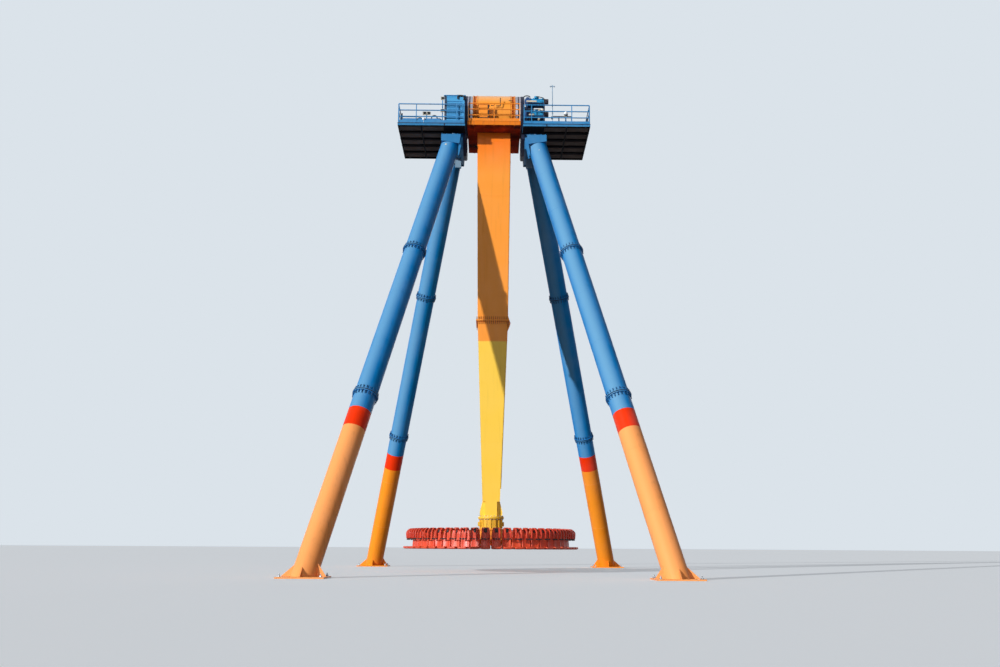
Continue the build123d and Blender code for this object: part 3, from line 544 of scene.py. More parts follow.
def repeat_tree(name, labels, build):
    """A Geometry Nodes tree with named inputs. build gets it and its inputs and returns the repeated shape."""
    tree = bpy.data.node_groups.new(name, "GeometryNodeTree")
    kinds = {"Geometry": "Geometry", "Count": "Int", "Seed": "Int", "Material": "Material"}
    for label in ("Geometry", *labels, "Material"):
        tree.interface.new_socket(label, in_out="INPUT", socket_type="NodeSocket" + kinds.get(label, "Float"))
    tree.interface.new_socket("Geometry", in_out="OUTPUT", socket_type="NodeSocketGeometry")
    given = tree.nodes.new("NodeGroupInput").outputs
    real = add(tree, "GeometryNodeRealizeInstances", {"Geometry": build(tree, given)})
    coloured = add(tree, "GeometryNodeSetMaterial", {"Geometry": real, "Material": given["Material"]})
    add(tree, "NodeGroupOutput", {"Geometry": coloured})
    return tree


def grown(name, tree, mesh, values):
    """The plain mesh that a tree makes from a mesh and its named inputs."""

    def prepare(modifier):
        modifier.node_group = tree
        for item in tree.interface.items_tree:
            if item.item_type == "SOCKET" and item.in_out == "INPUT" and item.name in values:
                modifier[item.identifier] = values[item.name]

    result = evaluated(mesh, "NODES", prepare)
    result.name = name
    return shaded(result)


def studs(tree, given):
    """Studs with a nut on each side of the flanges, set out along closed lines."""
    lines = add(tree, "GeometryNodeMeshToCurve", {"Mesh": given["Geometry"]})
    places = add(tree, "GeometryNodeResampleCurve", {"Curve": lines, "Length": given["Spacing"]}, mode="LENGTH")
    parts = [add(tree, "GeometryNodeMeshCylinder", {"Vertices": 8, "Radius": given["Stud Radius"],
                                                    "Depth": given["Stud Length"]})]
    nut = add(tree, "GeometryNodeMeshCylinder", {"Vertices": 6, "Radius": given["Nut Radius"],
                                                 "Depth": given["Nut Height"]})
    spread = add(tree, "Math", {0: given["Grip"], 1: given["Nut Height"]})
    for way in (0.5, -0.5):
        rise = add(tree, "Math", {0: spread, 1: way}, operation="MULTIPLY")
        offset = add(tree, "CombineXYZ", {"Z": rise})
        parts.append(add(tree, "GeometryNodeTransform", {"Geometry": nut, "Translation": offset}))
    joined = add(tree, "GeometryNodeJoinGeometry", {"Geometry": parts})
    axis = add(tree, "GeometryNodeInputNamedAttribute", {"Name": "axis"}, data_type="FLOAT_VECTOR")
    aimed = add(tree, "FunctionNodeAlignRotationToVector", {"Vector": axis}, axis="Z")
    chance = add(tree, "FunctionNodeRandomValue", {"Max": pi / 3, "Seed": given["Seed"]}, 1, data_type="FLOAT")
    spin = add(tree, "CombineXYZ", {"Z": chance})
    spun = add(tree, "FunctionNodeRotateRotation", {"Rotation": aimed, "Rotate By": spin}, rotation_space="LOCAL")
    return add(tree, "GeometryNodeInstanceOnPoints", {"Points": places, "Instance": joined, "Rotation": spun})


def beads(tree, given):
    """A round weld bead laid along lines of edges."""
    lines = add(tree, "GeometryNodeMeshToCurve", {"Mesh": given["Geometry"]})
    section = add(tree, "GeometryNodeCurvePrimitiveCircle", {"Resolution": 6, "Radius": given["Bead Radius"]},
                  mode="RADIUS")
    return add(tree, "GeometryNodeCurveToMesh", {"Curve": lines, "Profile Curve": section})


def grating(tree, given):
    """A bay of grating on each point: flat bars along X, thin rods across them."""
    rows = (("Y", given["Bay Width"], given["Bar Pitch"],
             {"X": given["Bay Length"], "Y": given["Bar Thickness"], "Z": given["Bar Depth"]}),
            ("X", given["Bay Length"], given["Rod Pitch"],
             {"X": given["Rod Size"], "Y": given["Bay Width"], "Z": given["Rod Size"]}))
    parts = []
    for way, width, pitch, sizes in rows:
        stop, start = (add(tree, "CombineXYZ", {way: add(tree, "Math", {0: width, 1: share},
                                                                   operation="MULTIPLY")}) for share in (0.5, -0.5))
        line = add(tree, "GeometryNodeMeshLine", {"Start Location": start, "Offset": stop, "Resolution": pitch},
                   mode="END_POINTS", count_mode="RESOLUTION")
        bar = add(tree, "GeometryNodeMeshCube", {"Size": add(tree, "CombineXYZ", sizes)})
        parts.append(add(tree, "GeometryNodeInstanceOnPoints", {"Points": line, "Instance": bar}))
    joined = add(tree, "GeometryNodeJoinGeometry", {"Geometry": parts})
    return add(tree, "GeometryNodeInstanceOnPoints", {"Points": given["Geometry"], "Instance": joined})


def ring(tree, given):
    """The same piece set out round the upright axis, each turned to face outwards."""
    places = add(tree, "GeometryNodeMeshLine", {"Count": given["Count"], "Offset": (0.0, 0.0, 0.0)})
    share = add(tree, "Math", {0: add(tree, "GeometryNodeInputIndex"), 1: given["Count"]},
                operation="DIVIDE")
    angle = add(tree, "Math", {0: share, 1: 2 * pi}, operation="MULTIPLY")
    spin = add(tree, "CombineXYZ", {"Z": angle})
    return add(tree, "GeometryNodeInstanceOnPoints", {"Points": places, "Instance": given["Geometry"],
                                                      "Rotation": spin})


studs_on_lines = repeat_tree("studs_on_lines", ("Spacing", "Nut Radius", "Nut Height", "Grip", "Stud Radius",
                                                "Stud Length", "Seed"), studs)
beads_on_lines = repeat_tree("beads_on_lines", ("Bead Radius",), beads)
grating_in_bays = repeat_tree("grating_in_bays", ("Bay Length", "Bay Width", "Bar Pitch", "Bar Thickness",
                                                  "Bar Depth", "Rod Pitch", "Rod Size"), grating)
round_the_axis = repeat_tree("pieces_round_the_axis", ("Count",), ring)


def lined(name, loops):
    """A mesh of closed lines of edges, each with the way that its studs point."""
    bm = bmesh.new()
    layer = bm.verts.layers.float_vector.new("axis")
    for points, axis in loops:
        verts = [bm.verts.new(p) for p in points]
        for i, vert in enumerate(verts):
            vert[layer] = axis
            bm.edges.new((vert, verts[(i + 1) % len(verts)]))
    base = bpy.data.meshes.new(name + "_lines")
    bm.to_mesh(base)
    bm.free()
    return base


def studded(name, loops, body, material, slot_name, spacing, nut, grip, stud, seed):
    """Studs along closed lines, as one piece. nut and stud each give a radius and a length."""
    values = {"Spacing": spacing, "Nut Radius": nut[0], "Nut Height": nut[1], "Grip": grip,
              "Stud Radius": stud[0], "Stud Length": stud[1], "Seed": seed, "Material": material}
    piece(name, grown(name, studs_on_lines, lined(name, loops), values), body, material, slot_name)


def beaded(name, loops, body, material, slot_name, radius):
    """Weld beads along closed lines, as one piece on a body."""
    base = lined(name, [(points, UP) for points in loops])
    mesh = grown(name, beads_on_lines, base, {"Bead Radius": radius, "Material": material})
    piece(name, mesh, body, material, slot_name)


def set_round(name, shape, count, material, slot_name, *replaced):
    """A shape repeated round the gondola's axis, as one piece."""
    base = meshed(name + "_one", shape) if isinstance(shape, bmesh.types.BMesh) else shape
    mesh = grown(name, round_the_axis, base, {"Count": count, "Material": material})
    return piece(name, mesh, "gondola", material, slot_name, *replaced)


# Legs: flange studs, dark rings at the flange joints that are partly painted shade, weld beads between the rolled
# cans, and anchor bolts

def leg_point(side, end, height):
    """A point on a leg's axis at a height, and the way the axis points."""
    low = Vector((side * foot.x, end * foot.y, 0.0))
    high = Vector((side * leg_top.x, end * leg_top.y, leg_top.z))
    return low + (high - low) * height / leg_top.z, (high - low).normalized()


legs = list(product(sides, ends))
stud_circle = 0.546
stud_loops, bead_loops = [], []
for side, end in legs:
    for height in joint_heights:
        centre, axis = leg_point(side, end, height)
        stud_loops.append((circle(centre, axis, stud_circle), axis))
        for way in (-1, 1):
            bead_loops.append(circle(centre + axis * way * (flange_t + 0.004), axis, tube_r + 0.006, 40))
    for height in (2.60, 5.20, 10.40, 13.00, 18.00, 20.40):
        centre, axis = leg_point(side, end, height)
        bead_loops.append(circle(centre, axis, tube_r + 0.001, 40))
studded("leg_flange_studs", stud_loops, "frame", leg_stud_paint, "leg_blue_paint",
        spacing=0.156, nut=(0.033, 0.040), grip=2 * flange_t, stud=(0.019, 0.42), seed=3)
beaded("leg_weld_beads", bead_loops, "frame", leg_lower_paint, "leg_lower_paint", 0.005)

# Dark rings round the flange joints: the gap between the flanges, widened into a band of painted shade over the
# flange rims
bm = bmesh.new()
for side, end in legs:
    for height in joint_heights:
        centre, axis = leg_point(side, end, height)
        turned_part(bm, centre, axis, ((-0.030, 0.580), (-0.024, 0.593), (0.020, 0.593), (0.026, 0.580)), 48)
piece("leg_flange_gap_and_shade_rings", bm, "frame", dark_fitting_and_shade_paint, "leg_blue_paint")

bm = bmesh.new()
for side, end in legs:
    for dx, dy in product((-0.8, 0.8), repeat=2):
        x, y = side * foot.x + dx, end * foot.y + dy
        chamfered(bm, (x, y, 0.066), (0.14, 0.14, 0.012), 0.003)
        turned_part(bm, (x, y, 0.072), UP, ((0.0, 0.05), (0.046, 0.05)), 6)
        turned_part(bm, (x, y, 0.004), UP, ((0.0, 0.024), (0.181, 0.024), (0.186, 0.024)), 12)
piece("anchor_bolts", bm, "frame", zinc, "slew_ring_steel")


# Heads: gussets between the box and the tubes, stiffeners on the wall, lugs and hangers

head_under = 22.95
head_rim_y = 1.85814                # near the edge of the head box's lid
gussets = {-1: ((1.665, head_under), (1.740, 22.55), (1.880, 21.86), (1.935, 21.86), (1.900, 22.58),
                (1.900, head_under)),
           1: ((1.665, head_under), (1.700, 22.60), (1.900, 22.60), (1.900, head_under))}
bm = bmesh.new()
for side, end in legs:
    for y in (1.26, 1.66):
        # a gusset follows the lean of the tube that it stands against
        lofted(bm, [[(side * x, end * (y + 0.14 * (head_under - z) + rise), z) for x, z in gussets[end]]
                    for rise in (-0.02, 0.02)])
for side in sides:
    for y in (-0.62, 0.0, 0.62):
        for z, height in ((22.77, 0.42), (23.22, 0.15)):
            chamfered(bm, (side * (wall_in - 0.012), y, z), (0.024, 0.05, height), 0.006)
    for y in (-head_rim_y, head_rim_y):
        for x in (1.95, 2.25, 2.55, 2.80):
            chamfered(bm, (side * x, y, head_top + 0.012), (0.06, 0.10, 0.024), 0.006)
piece("head_gussets", bm, "frame", head_blue_paint, "head_blue_paint")

# Pale lugs on the tubes, then a hanger plate under each head box
bm = bmesh.new()
for x, y, z in ((-2.579, -1.90, 22.43), (2.442, -2.06, 22.06), (2.800, -2.27, 21.50)):
    turned_part(bm, (x, y, z), -BACK, ((-0.10, 0.050), (0.02, 0.050), (0.035, 0.030)), 10)
piece("head_lugs", bm, "frame", lamp_shell, "head_blue_paint")

bm = bmesh.new()
for side in sides:
    chamfered(bm, (side * 1.985, 0.30, 22.34), (0.34, 0.024, 0.72), 0.008)
piece("head_hangers", bm, "frame", plate_paint, "head_blue_paint")


# Service decks: grating in the open bays below, ribs on the fascia, the strip along its top edge, and fittings

joist = 0.070
bay_x = (deck_out - bay_start - 3 * joist) / 2
bay_y = (2 * deck_half_y - 6 * joist) / 5
bay_points = bpy.data.meshes.new("bay_points")
bay_places = [(side * (bay_start + joist + bay_x / 2 + column * (bay_x + joist)),
               -deck_half_y + joist + bay_y / 2 + row * (bay_y + joist), deck_under + 0.030)
              for side in sides for column in range(2) for row in range(5)]
bay_points.from_pydata(bay_places, [], [])
piece("deck_grating", grown("deck_grating", grating_in_bays, bay_points, {
    "Bay Length": bay_x, "Bay Width": bay_y * 0.52, "Bar Pitch": 0.062, "Bar Thickness": 0.012,
    "Bar Depth": 0.045, "Rod Pitch": 0.130, "Rod Size": 0.012, "Material": grating_zinc}),
    "frame", grating_zinc, "deck_blue_paint")

bm = bmesh.new()
for side in sides:
    for end in ends:
        middle = side * (deck_in + deck_out) / 2
        chamfered(bm, (middle, end * (deck_half_y + 0.004), deck_top - 0.024),
                  (deck_out - deck_in, 0.012, 0.044), 0.003)
        seam = -2.66 if side < 0 else 2.83
        chamfered(bm, (seam, end * (deck_half_y + 0.005), (deck_under + deck_top) / 2),
                  (0.07, 0.016, deck_top - deck_under - 0.01), 0.004)
    chamfered(bm, (side * (deck_out + 0.004), 0, deck_top - 0.024), (0.012, 2 * deck_half_y, 0.044), 0.003)
    for y in (-1.42, -0.47, 0.47, 1.42):
        chamfered(bm, (side * (deck_out + 0.005), y, (deck_under + deck_top) / 2),
                  (0.016, 0.07, deck_top - deck_under - 0.01), 0.004)
piece("deck_edge_strips", bm, "frame", dark_fitting_and_shade_paint, "deck_blue_paint")

# Front fittings of the decks: short posts and low bars, a low panel, then hoses and conduit
bm = bmesh.new()
for x, y, high, size in ((-4.96, -2.20, 24.06, 0.07), (5.00, -2.20, 23.90, 0.06), (3.51, -2.00, 24.05, 0.06),
                         (3.87, -2.00, 24.05, 0.05)):
    chamfered(bm, (x, y, (deck_top + high) / 2), (size, size, high - deck_top), 0.01)
    chamfered(bm, (x, y, deck_top + 0.008), (0.16, 0.16, 0.016), 0.004)
pipe(bm, [(-4.96, -2.20, 23.87), (-4.05, -2.20, 23.87)], 0.024)
pipe(bm, [(3.12, -2.00, 23.90), (3.12, -2.00, 24.06), (4.19, -2.00, 24.06), (4.19, -2.00, 23.55)], 0.026, 0.05)
piece("deck_low_bars", bm, "frame", dark_fitting_and_shade_paint, "rail_blue_paint")

bm = bmesh.new()
chamfered(bm, (-3.90, -2.30, deck_top + 0.155), (2.02, 0.014, 0.230), 0.004)
for x in (-4.80, -3.90, -3.00):
    chamfered(bm, (x, -2.285, deck_top + 0.135), (0.040, 0.030, 0.270), 0.004)
piece("deck_low_panel", bm, "frame", panel_paint, "rail_blue_paint")

bm = bmesh.new()
for x, radius, rise in ((-3.99, 0.13, 0.24), (-3.22, 0.15, 0.36), (-2.96, 0.11, 0.22)):
    arc = [(x + radius * cos(a), -2.14, deck_top + rise + radius * sin(a))
           for a in (pi * k / 10 for k in range(11))]
    pipe(bm, [(x + radius, -2.14, deck_top)] + arc + [(x - radius, -2.14, deck_top)], 0.032)
pipe(bm, [(-3.90, -2.10, deck_top + 0.03), (-2.55, -2.10, deck_top + 0.03), (-2.55, -2.10, 24.20)], 0.022, 0.08)
pipe(bm, [(-2.10, -1.86, 25.10), (-2.10, -1.86, 25.30), (-1.62, -1.86, 25.30), (-1.62, -1.86, 24.60),
           (-1.62, -1.50, 24.60)], 0.035, 0.18)
pipe(bm, [(-1.97, -2.28, 24.90), (-1.97, -2.28, 25.09), (-1.64, -2.28, 25.09), (-1.64, -2.28, 24.84)], 0.034, 0.10)
piece("deck_conduits", bm, "frame", rubber_and_painted_shade, "rail_blue_paint")


# Louvred cabinet: slats in the louvres, door frames, hinges, handle, roof and plinth

cabinet_low, cabinet_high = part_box("cabinet_left")
cab_x, cab_deep, cab_middle = (cabinet_low + cabinet_high) / 2
cab_y = cabinet_low.y
cab_width = cabinet_high.x - cabinet_low.x
bm = bmesh.new()
for k in range(9):
    z = cab_middle + (k - 4) * 0.120
    tilt = Matrix.Rotation(radians(-38), 3, "X")
    for dz in (-0.014, 0.014):
        chamfered(bm, (cab_x, cab_y + 0.012, z + dz), (0.80, 0.034, 0.005), 0.002, tilt)
for dx in (-0.49, 0.49):
    chamfered(bm, (cab_x + dx * cab_width, cab_y - 0.006, cab_middle), (0.030, 0.016, 1.52), 0.004)
for z in (cab_middle - 0.76, cab_middle + 0.76):
    chamfered(bm, (cab_x, cab_y - 0.006, z), (cab_width - 0.02, 0.016, 0.030), 0.004)
chamfered(bm, (cab_x, cab_deep, cabinet_high.z + 0.018), (cab_width + 0.10, 0.80, 0.036), 0.012)
chamfered(bm, (cab_x, cab_deep, cabinet_low.z + 0.045), (cab_width + 0.03, 0.73, 0.090), 0.008)
for z in (cab_middle - 0.55, cab_middle, cab_middle + 0.55):
    pipe(bm, [(cabinet_low.x + 0.010, cab_y - 0.016, z + half) for half in (-0.05, 0.05)], 0.012)
piece("cabinet_trim", bm, "frame", cabinet_paint, "cabinet_paint")

bm = bmesh.new()
handle = ((0.005, -0.13), (0.055, -0.13), (0.055, 0.13), (0.005, 0.13))
pipe(bm, [(cab_x + 0.44, cab_y - out, cab_middle + rise) for out, rise in handle], 0.010, 0.02)
# Painted shade: dark strips down the cabinet's sides, the wide left one for its shadowed left side, the narrow right
# one a dark edge
for x, width in ((cabinet_low.x + 0.045, 0.115), (cabinet_high.x, 0.045)):
    chamfered(bm, (x, cabinet_low.y - 0.002, cab_middle), (width, 0.03, 1.60), 0.008)
chamfered(bm, (cab_x - 0.48, cab_y - 0.02, cabinet_high.z - 0.42), (0.07, 0.05, 0.16), 0.01)
piece("cabinet_edges", bm, "frame", dark_fitting_and_shade_paint, "cabinet_paint")


# Drive set: terminal boxes, lifting eyes, foot bolts, fan grilles and cable runs on the two geared motors

stand_low, stand_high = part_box("drive_stand")
motor_y = ((stand_low + stand_high) / 2).y
shelf_tops = (deck_top + 0.540, deck_top + 1.300)
bm = bmesh.new()
for shelf in shelf_tops:
    axis_z = shelf + 0.200
    chamfered(bm, (2.30, motor_y - 0.12, axis_z + 0.17), (0.24, 0.20, 0.12), 0.015)
    chamfered(bm, (1.83, motor_y, axis_z + 0.19), (0.16, 0.20, 0.06), 0.012)
    for x in (2.14, 2.62):
        turned_part(bm, (x, motor_y, axis_z), UP, ((0.155, 0.03), (0.20, 0.03), (0.21, 0.02)), 10)
    for x, y in product((1.80, 1.95, 2.22, 2.52), (-0.17, 0.17)):
        turned_part(bm, (x, motor_y + y, shelf), UP, ((0.0, 0.022), (0.035, 0.022)), 6)
        chamfered(bm, (x, motor_y + y * 0.97, shelf + 0.006), (0.09, 0.07, 0.012), 0.003)
    for radius in (0.05, 0.09, 0.13):
        lofted(bm, [circle((2.936 + t, motor_y, axis_z), ACROSS, radius + w, 20)
                    for t, w in ((0.0, 0.0), (0.014, 0.0), (0.014, 0.010), (0.0, 0.010))], capped=False)
piece("motor_fittings", bm, "frame", drive_motor_paint, "drive_motor_paint")

bm = bmesh.new()
for shelf in shelf_tops:
    z = shelf + 0.37
    pipe(bm, [(2.30, motor_y - 0.22, z), (2.30, motor_y - 0.30, z), (2.72, motor_y - 0.30, z - 0.10),
               (2.72, motor_y - 0.30, deck_top)], 0.022, 0.12)
    arc = [(1.78 + 0.17 * cos(a), motor_y - 0.10, shelf + 0.40 + 0.09 * sin(a))
           for a in (pi * k / 8 for k in range(9))]
    pipe(bm, arc, 0.028)
for x in (1.76, 1.92):
    pipe(bm, [(x, motor_y - 0.28, deck_top), (x, motor_y - 0.28, 24.40),
               (x + 0.25, motor_y - 0.28, 24.40)], 0.020, 0.08)
piece("motor_cables", bm, "frame", rubber_and_painted_shade, "drive_frame_paint")

bm = bmesh.new()
for shelf, width in ((shelf_tops[1], 0.55), (shelf_tops[0], 0.30)):
    chamfered(bm, (2.03, motor_y - 0.29, shelf + 0.085), (width, 0.05, 0.09), 0.012)
for x, z in ((2.44, 24.36), (2.62, 24.36), (2.43, 23.86)):
    chamfered(bm, (x, motor_y - 0.27, z), (0.12, 0.08, 0.15), 0.02)
turned_part(bm, (2.40, motor_y - 0.30, 23.78), -BACK, ((0.0, 0.055), (0.05, 0.055), (0.065, 0.035)), 16)
piece("drive_boxes", bm, "frame", lamp_shell, "lamp_housing")


# Floodlights: glass in a rim, cooling ribs and a yoke; then the wind gauge and a beacon

lamp_y = 0.260 - deck_half_y
lamp_aim = Vector((0.0, -cos(radians(35)), -sin(radians(35))))
lamp_up = ACROSS.cross(lamp_aim)
turn = Matrix((ACROSS, lamp_up, lamp_aim)).transposed()
glass, rims, stalks = bmesh.new(), bmesh.new(), bmesh.new()
for x, height in ((-2.790, 1.540), (-3.640, 0.660), (3.880, 0.650)):
    chamfered(stalks, (x, lamp_y, deck_top + height / 2), (0.056, 0.056, height), 0.006)
    chamfered(stalks, (x, lamp_y, deck_top + 0.013), (0.190, 0.190, 0.026), 0.006)
chamfered(stalks, (-3.640, lamp_y, deck_top + 0.640), (0.300, 0.060, 0.030), 0.006)
for x, rise in ((-2.790, 1.540), (-2.790, 0.830), (-3.750, 0.660), (-3.530, 0.660), (3.880, 0.650)):
    centre = Vector((x, lamp_y, deck_top + rise))
    face = centre + lamp_aim * 0.080
    chamfered(glass, face + ACROSS * 0.014 - lamp_up * 0.012 + lamp_aim * 0.003, (0.140, 0.124, 0.010), 0.004, turn)
    for dx, dy, sx, sy in ((0, 0.074, 0.200, 0.034), (0, -0.083, 0.200, 0.016),
                           (0.093, 0, 0.016, 0.180), (-0.080, 0, 0.040, 0.180)):
        chamfered(rims, face + ACROSS * dx + lamp_up * dy + lamp_aim * 0.004, (sx, sy, 0.022), 0.004, turn)
    for k in range(5):
        chamfered(rims, centre - lamp_aim * 0.085 + ACROSS * (k - 2) * 0.028, (0.008, 0.100, 0.030), 0.002, turn)
    for dx in (-0.10296, 0.10296):
        chamfered(rims, centre + ACROSS * dx, (0.008, 0.040, 0.120), 0.002, turn)
piece("lamp_glasses", glass, "frame", lamp_glass, "lamp_housing")
piece("lamp_rims", rims, "frame", lamp_shell, "lamp_housing")
piece("lamp_stalks", stalks, "frame", rail_blue_paint, "rail_blue_paint")

# A white work light beside the right floodlight, and a beacon on the left deck
beacon_x, beacon_y = -3.787, -2.350
bm = bmesh.new()
for x, y, z, size in ((3.860, -2.300, deck_top + 0.560, 1.25), (beacon_x, beacon_y, 23.625, 0.9)):
    outline = ((0.0, 0.060), (0.03, 0.078), (0.09, 0.080), (0.13, 0.060), (0.15, 0.012))
    turned_part(bm, (x, y, z), UP, [(rise * size, radius * size) for rise, radius in outline], 14)
piece("beacon_lenses", bm, "frame", beacon_lens, "lamp_housing")

bm = bmesh.new()
mast_low, mast_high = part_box("mast")
mast_x, mast_y, _ = (mast_low + mast_high) / 2
for x in (0.10, -0.10):
    turned_part(bm, (mast_x + x, mast_y, mast_high.z - 0.045), BACK,
                ((-0.038, 0.008), (-0.030, 0.026), (-0.010, 0.037), (0.015, 0.039)), 12)
pipe(bm, [(mast_x, mast_y, mast_high.z + rise) for rise in (-0.02, 0.03)], 0.030)
for z in (24.10, 24.60):
    chamfered(bm, (mast_x, mast_y, z), (0.075, 0.075, 0.05), 0.01)
pipe(bm, [(beacon_x, beacon_y, z) for z in (deck_top, 23.63)], 0.018)
piece("wind_gauge", bm, "frame", aluminium, "mast_aluminium")


# Bearings and slew rings: bolts in the bearing feet and caps, and round the fixed and turning rings

bearing_foot_top = 24.260
cap_bolt_circle = 0.52
bm = bmesh.new()
for side in sides:
    for x, y in product((1.80, 2.07), (-0.74, 0.74)):
        turned_part(bm, (side * x, y, bearing_foot_top), UP, ((0.0, 0.045), (0.05, 0.045)), 6)
        turned_part(bm, (side * x, y, bearing_foot_top), UP, ((0.05, 0.022), (0.11, 0.022)), 10)
    for a in (k * pi / 6 for k in range(12)):
        centre = (side * 2.200, cap_bolt_circle * cos(a), pivot + cap_bolt_circle * sin(a))
        turned_part(bm, centre, side * ACROSS, ((0.0, 0.026), (0.03, 0.026)), 6)
piece("bearing_bolts", bm, "frame", zinc, "slew_ring_steel")

fixed_loops, hub_loops = ([(circle((side * x, 0, pivot), side * ACROSS, radius), side * ACROSS) for side in sides]
                          for x, radius in ((1.430, 1.125), (1.045, 1.165)))
studded("slew_ring_bolts", fixed_loops, "frame", zinc, "slew_ring_steel",
        spacing=0.113, nut=(0.014, 0.020), grip=0.14, stud=(0.008, 0.15), seed=5)
studded("hub_flange_studs", hub_loops, "arm", hub_stud_paint, "hub_orange_paint",
        spacing=0.1144, nut=(0.026, 0.030), grip=0.090, stud=(0.018, 0.15), seed=7)


# Hub: access covers on the drum, the cabinet's door and roof, conduits, dark bars painted as the cabinet's shade,
# and trim of the hub deck

bm = bmesh.new()
hub_box_low, hub_box_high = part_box("hub_cabinet")
box_x, box_deep, _ = (hub_box_low + hub_box_high) / 2
box_y = hub_box_low.y
chamfered(bm, (box_x - 0.02, box_y - 0.006, 24.52), (0.49, 0.016, 0.66), 0.006)
chamfered(bm, (box_x, box_deep, hub_box_high.z + 0.012), (0.62, 0.30, 0.024), 0.008)
drum_r, cover_z = 1.19, 25.66
for x in (-0.60, 0.0, 0.60):
    chamfered(bm, (x, sqrt(drum_r ** 2 - (cover_z - pivot) ** 2) + 0.004, cover_z), (0.34, 0.03, 0.26), 0.012,
              Matrix.Rotation(radians(44), 3, "X"))
piece("hub_fittings", bm, "arm", hub_orange_paint, "hub_orange_paint")

bm = bmesh.new()
# Painted shade: a dark bar down the cabinet's right edge and a dark plate low under it, for the cabinet's shadowed
# side and the shadow below it
chamfered(bm, (hub_box_high.x - 0.035, box_y - 0.010, 24.52), (0.075, 0.05, 0.72), 0.008)
chamfered(bm, (box_x - 0.02, box_deep, hub_box_low.z + 0.36), (0.66, 0.27, 0.035), 0.008)
for y, corner, radius, line in ((-1.34, 0.05, 0.024, ((0.34, 25.42), (0.34, 24.95), (0.12, 24.95))),
                                (-1.38, 0.05, 0.020, ((-0.18, 24.95), (0.02, 24.95), (0.02, 25.05))),
                                (-1.25, 0.05, 0.022, ((0.80, 25.30), (0.98, 25.30))),
                                (-1.42, 0.04, 0.022, ((-0.10, 23.80), (-0.10, 24.35), (0.06, 24.35), (0.06, 23.80))),
                                (-1.42, 0.05, 0.016, ((0.13, 24.10), (1.10, 24.10))),
                                (-1.52, 0.05, 0.024, ((-0.50, 23.80), (-0.50, 24.02), (-0.16, 24.02),
                                                      (-0.16, 23.82)))):
    pipe(bm, [(x, y, z) for x, z in line], radius, corner)
piece("hub_conduits_and_shade_bars", bm, "arm", rubber_and_painted_shade, "hub_orange_paint")

bm = bmesh.new()
for end in ends:
    y = end * 2.004
    chamfered(bm, (0, y, hub_deck_top - 0.012), (2.88, 0.014, 0.024), 0.003)
    for x in (-1.40, 0.0, 1.40):
        chamfered(bm, (x, y - end * 0.002, (hub_deck_under + hub_deck_top) / 2 - 0.01), (0.05, 0.02, 0.19), 0.005)
for x in (-1.1, -0.55, 0.0, 0.55, 1.1):
    for end in ends:
        chamfered(bm, (x, end * 1.47, hub_deck_under - 0.012), (0.06, 1.02, 0.024), 0.006)
piece("hub_deck_trim", bm, "arm", hub_deck_paint, "hub_orange_paint")


# Arm: flange studs, weld beads, straps on the cable duct, and bolts and ribs at the foot

def rectangle(width, depth, z):
    """The corners of a level rectangle about the arm's axis."""
    return [Vector((x * width / 2, y * depth / 2, z)) for x, y in ((-1, -1), (1, -1), (1, 1), (-1, 1))]


arm_outline = ((arm_neck, 0.900, 0.940), (arm_joint, 1.580, 1.640), (hub_deck_under, 1.820, 1.900))


def arm_size(z):
    """Width and depth of the tapered arm at a height."""
    low, high = arm_outline[1:] if z >= arm_joint else arm_outline[:2]
    share = (z - low[0]) / (high[0] - low[0])
    return [start + share * (stop - start) for start, stop in zip(low[1:], high[1:])]


studded("arm_flange_studs", [(rectangle(1.665, 1.725, arm_joint), UP)], "arm", stud_paint, "arm_orange_paint",
        spacing=0.113, nut=(0.026, 0.030), grip=2 * arm_flange_t, stud=(0.014, 0.40), seed=11)

joint_weld = arm_flange_t + 0.006
arm_loops = [rectangle(*(size + 0.016 for size in arm_size(arm_joint)), arm_joint + rise)
             for rise in (-joint_weld, joint_weld)]
arm_loops += [rectangle(*(size + 0.004 for size in arm_size(z)), z) for z in (16.40, 19.90, 6.60, 9.70)]
beaded("arm_weld_beads", arm_loops, "arm", arm_yellow_paint, "arm_yellow_paint", 0.008)

studded("arm_foot_studs", [(circle((0, 0, arm_foot), UP, 0.615, 40), UP)], "arm", zinc, "slew_ring_steel",
        spacing=0.161, nut=(0.024, 0.026), grip=0.120, stud=(0.012, 0.22), seed=13)

bm = bmesh.new()
for k in range(13):
    z = 4.80 + k * 1.45
    if abs(z - arm_joint) > 0.5 and z < 23.3:
        x = arm_size(z)[0] / 2
        chamfered(bm, (x + 0.022, 0, z), (0.056, 0.184, 0.045), 0.008)
        for y in (-0.115, 0.115):
            chamfered(bm, (x + 0.008, y, z), (0.016, 0.070, 0.045), 0.004)
piece("duct_straps", bm, "arm", arm_yellow_paint, "arm_duct_paint")

bm = bmesh.new()
ribs = [(22.5 * k, 0.575, 2.40, (0.050, 0.022, 0.46), 0.006) for k in range(16)]
for degrees, reach, z, size, cut in ribs + [(20, 0.60, 2.38, (0.16, 0.26, 0.22), 0.02),
                                            (200, 0.60, 2.38, (0.16, 0.26, 0.22), 0.02)]:
    a = radians(degrees)
    chamfered(bm, (reach * cos(a), reach * sin(a), z), size, cut, Matrix.Rotation(a, 3, "Z"))
piece("drive_ribs", bm, "arm", drive_housing_paint, "drive_housing_paint")


# Gondola: bolted splices on the spokes, covers and bolts on the hub, brackets behind the seats

hub_under = drive_under - 0.850
ring_under = drive_under - 0.770
spoke_count = 10
spoke_in, spoke_out = 0.800, 3.650
spoke_depth_in, spoke_depth_out = 0.350, 0.180


def spoke_level(x):
    """The lowest and highest point of a spoke at a distance from the axis."""
    share = (x - spoke_in) / (spoke_out - spoke_in)
    low = hub_under + share * (ring_under - hub_under)
    return low, low + spoke_depth_in + share * (spoke_depth_out - spoke_depth_in)


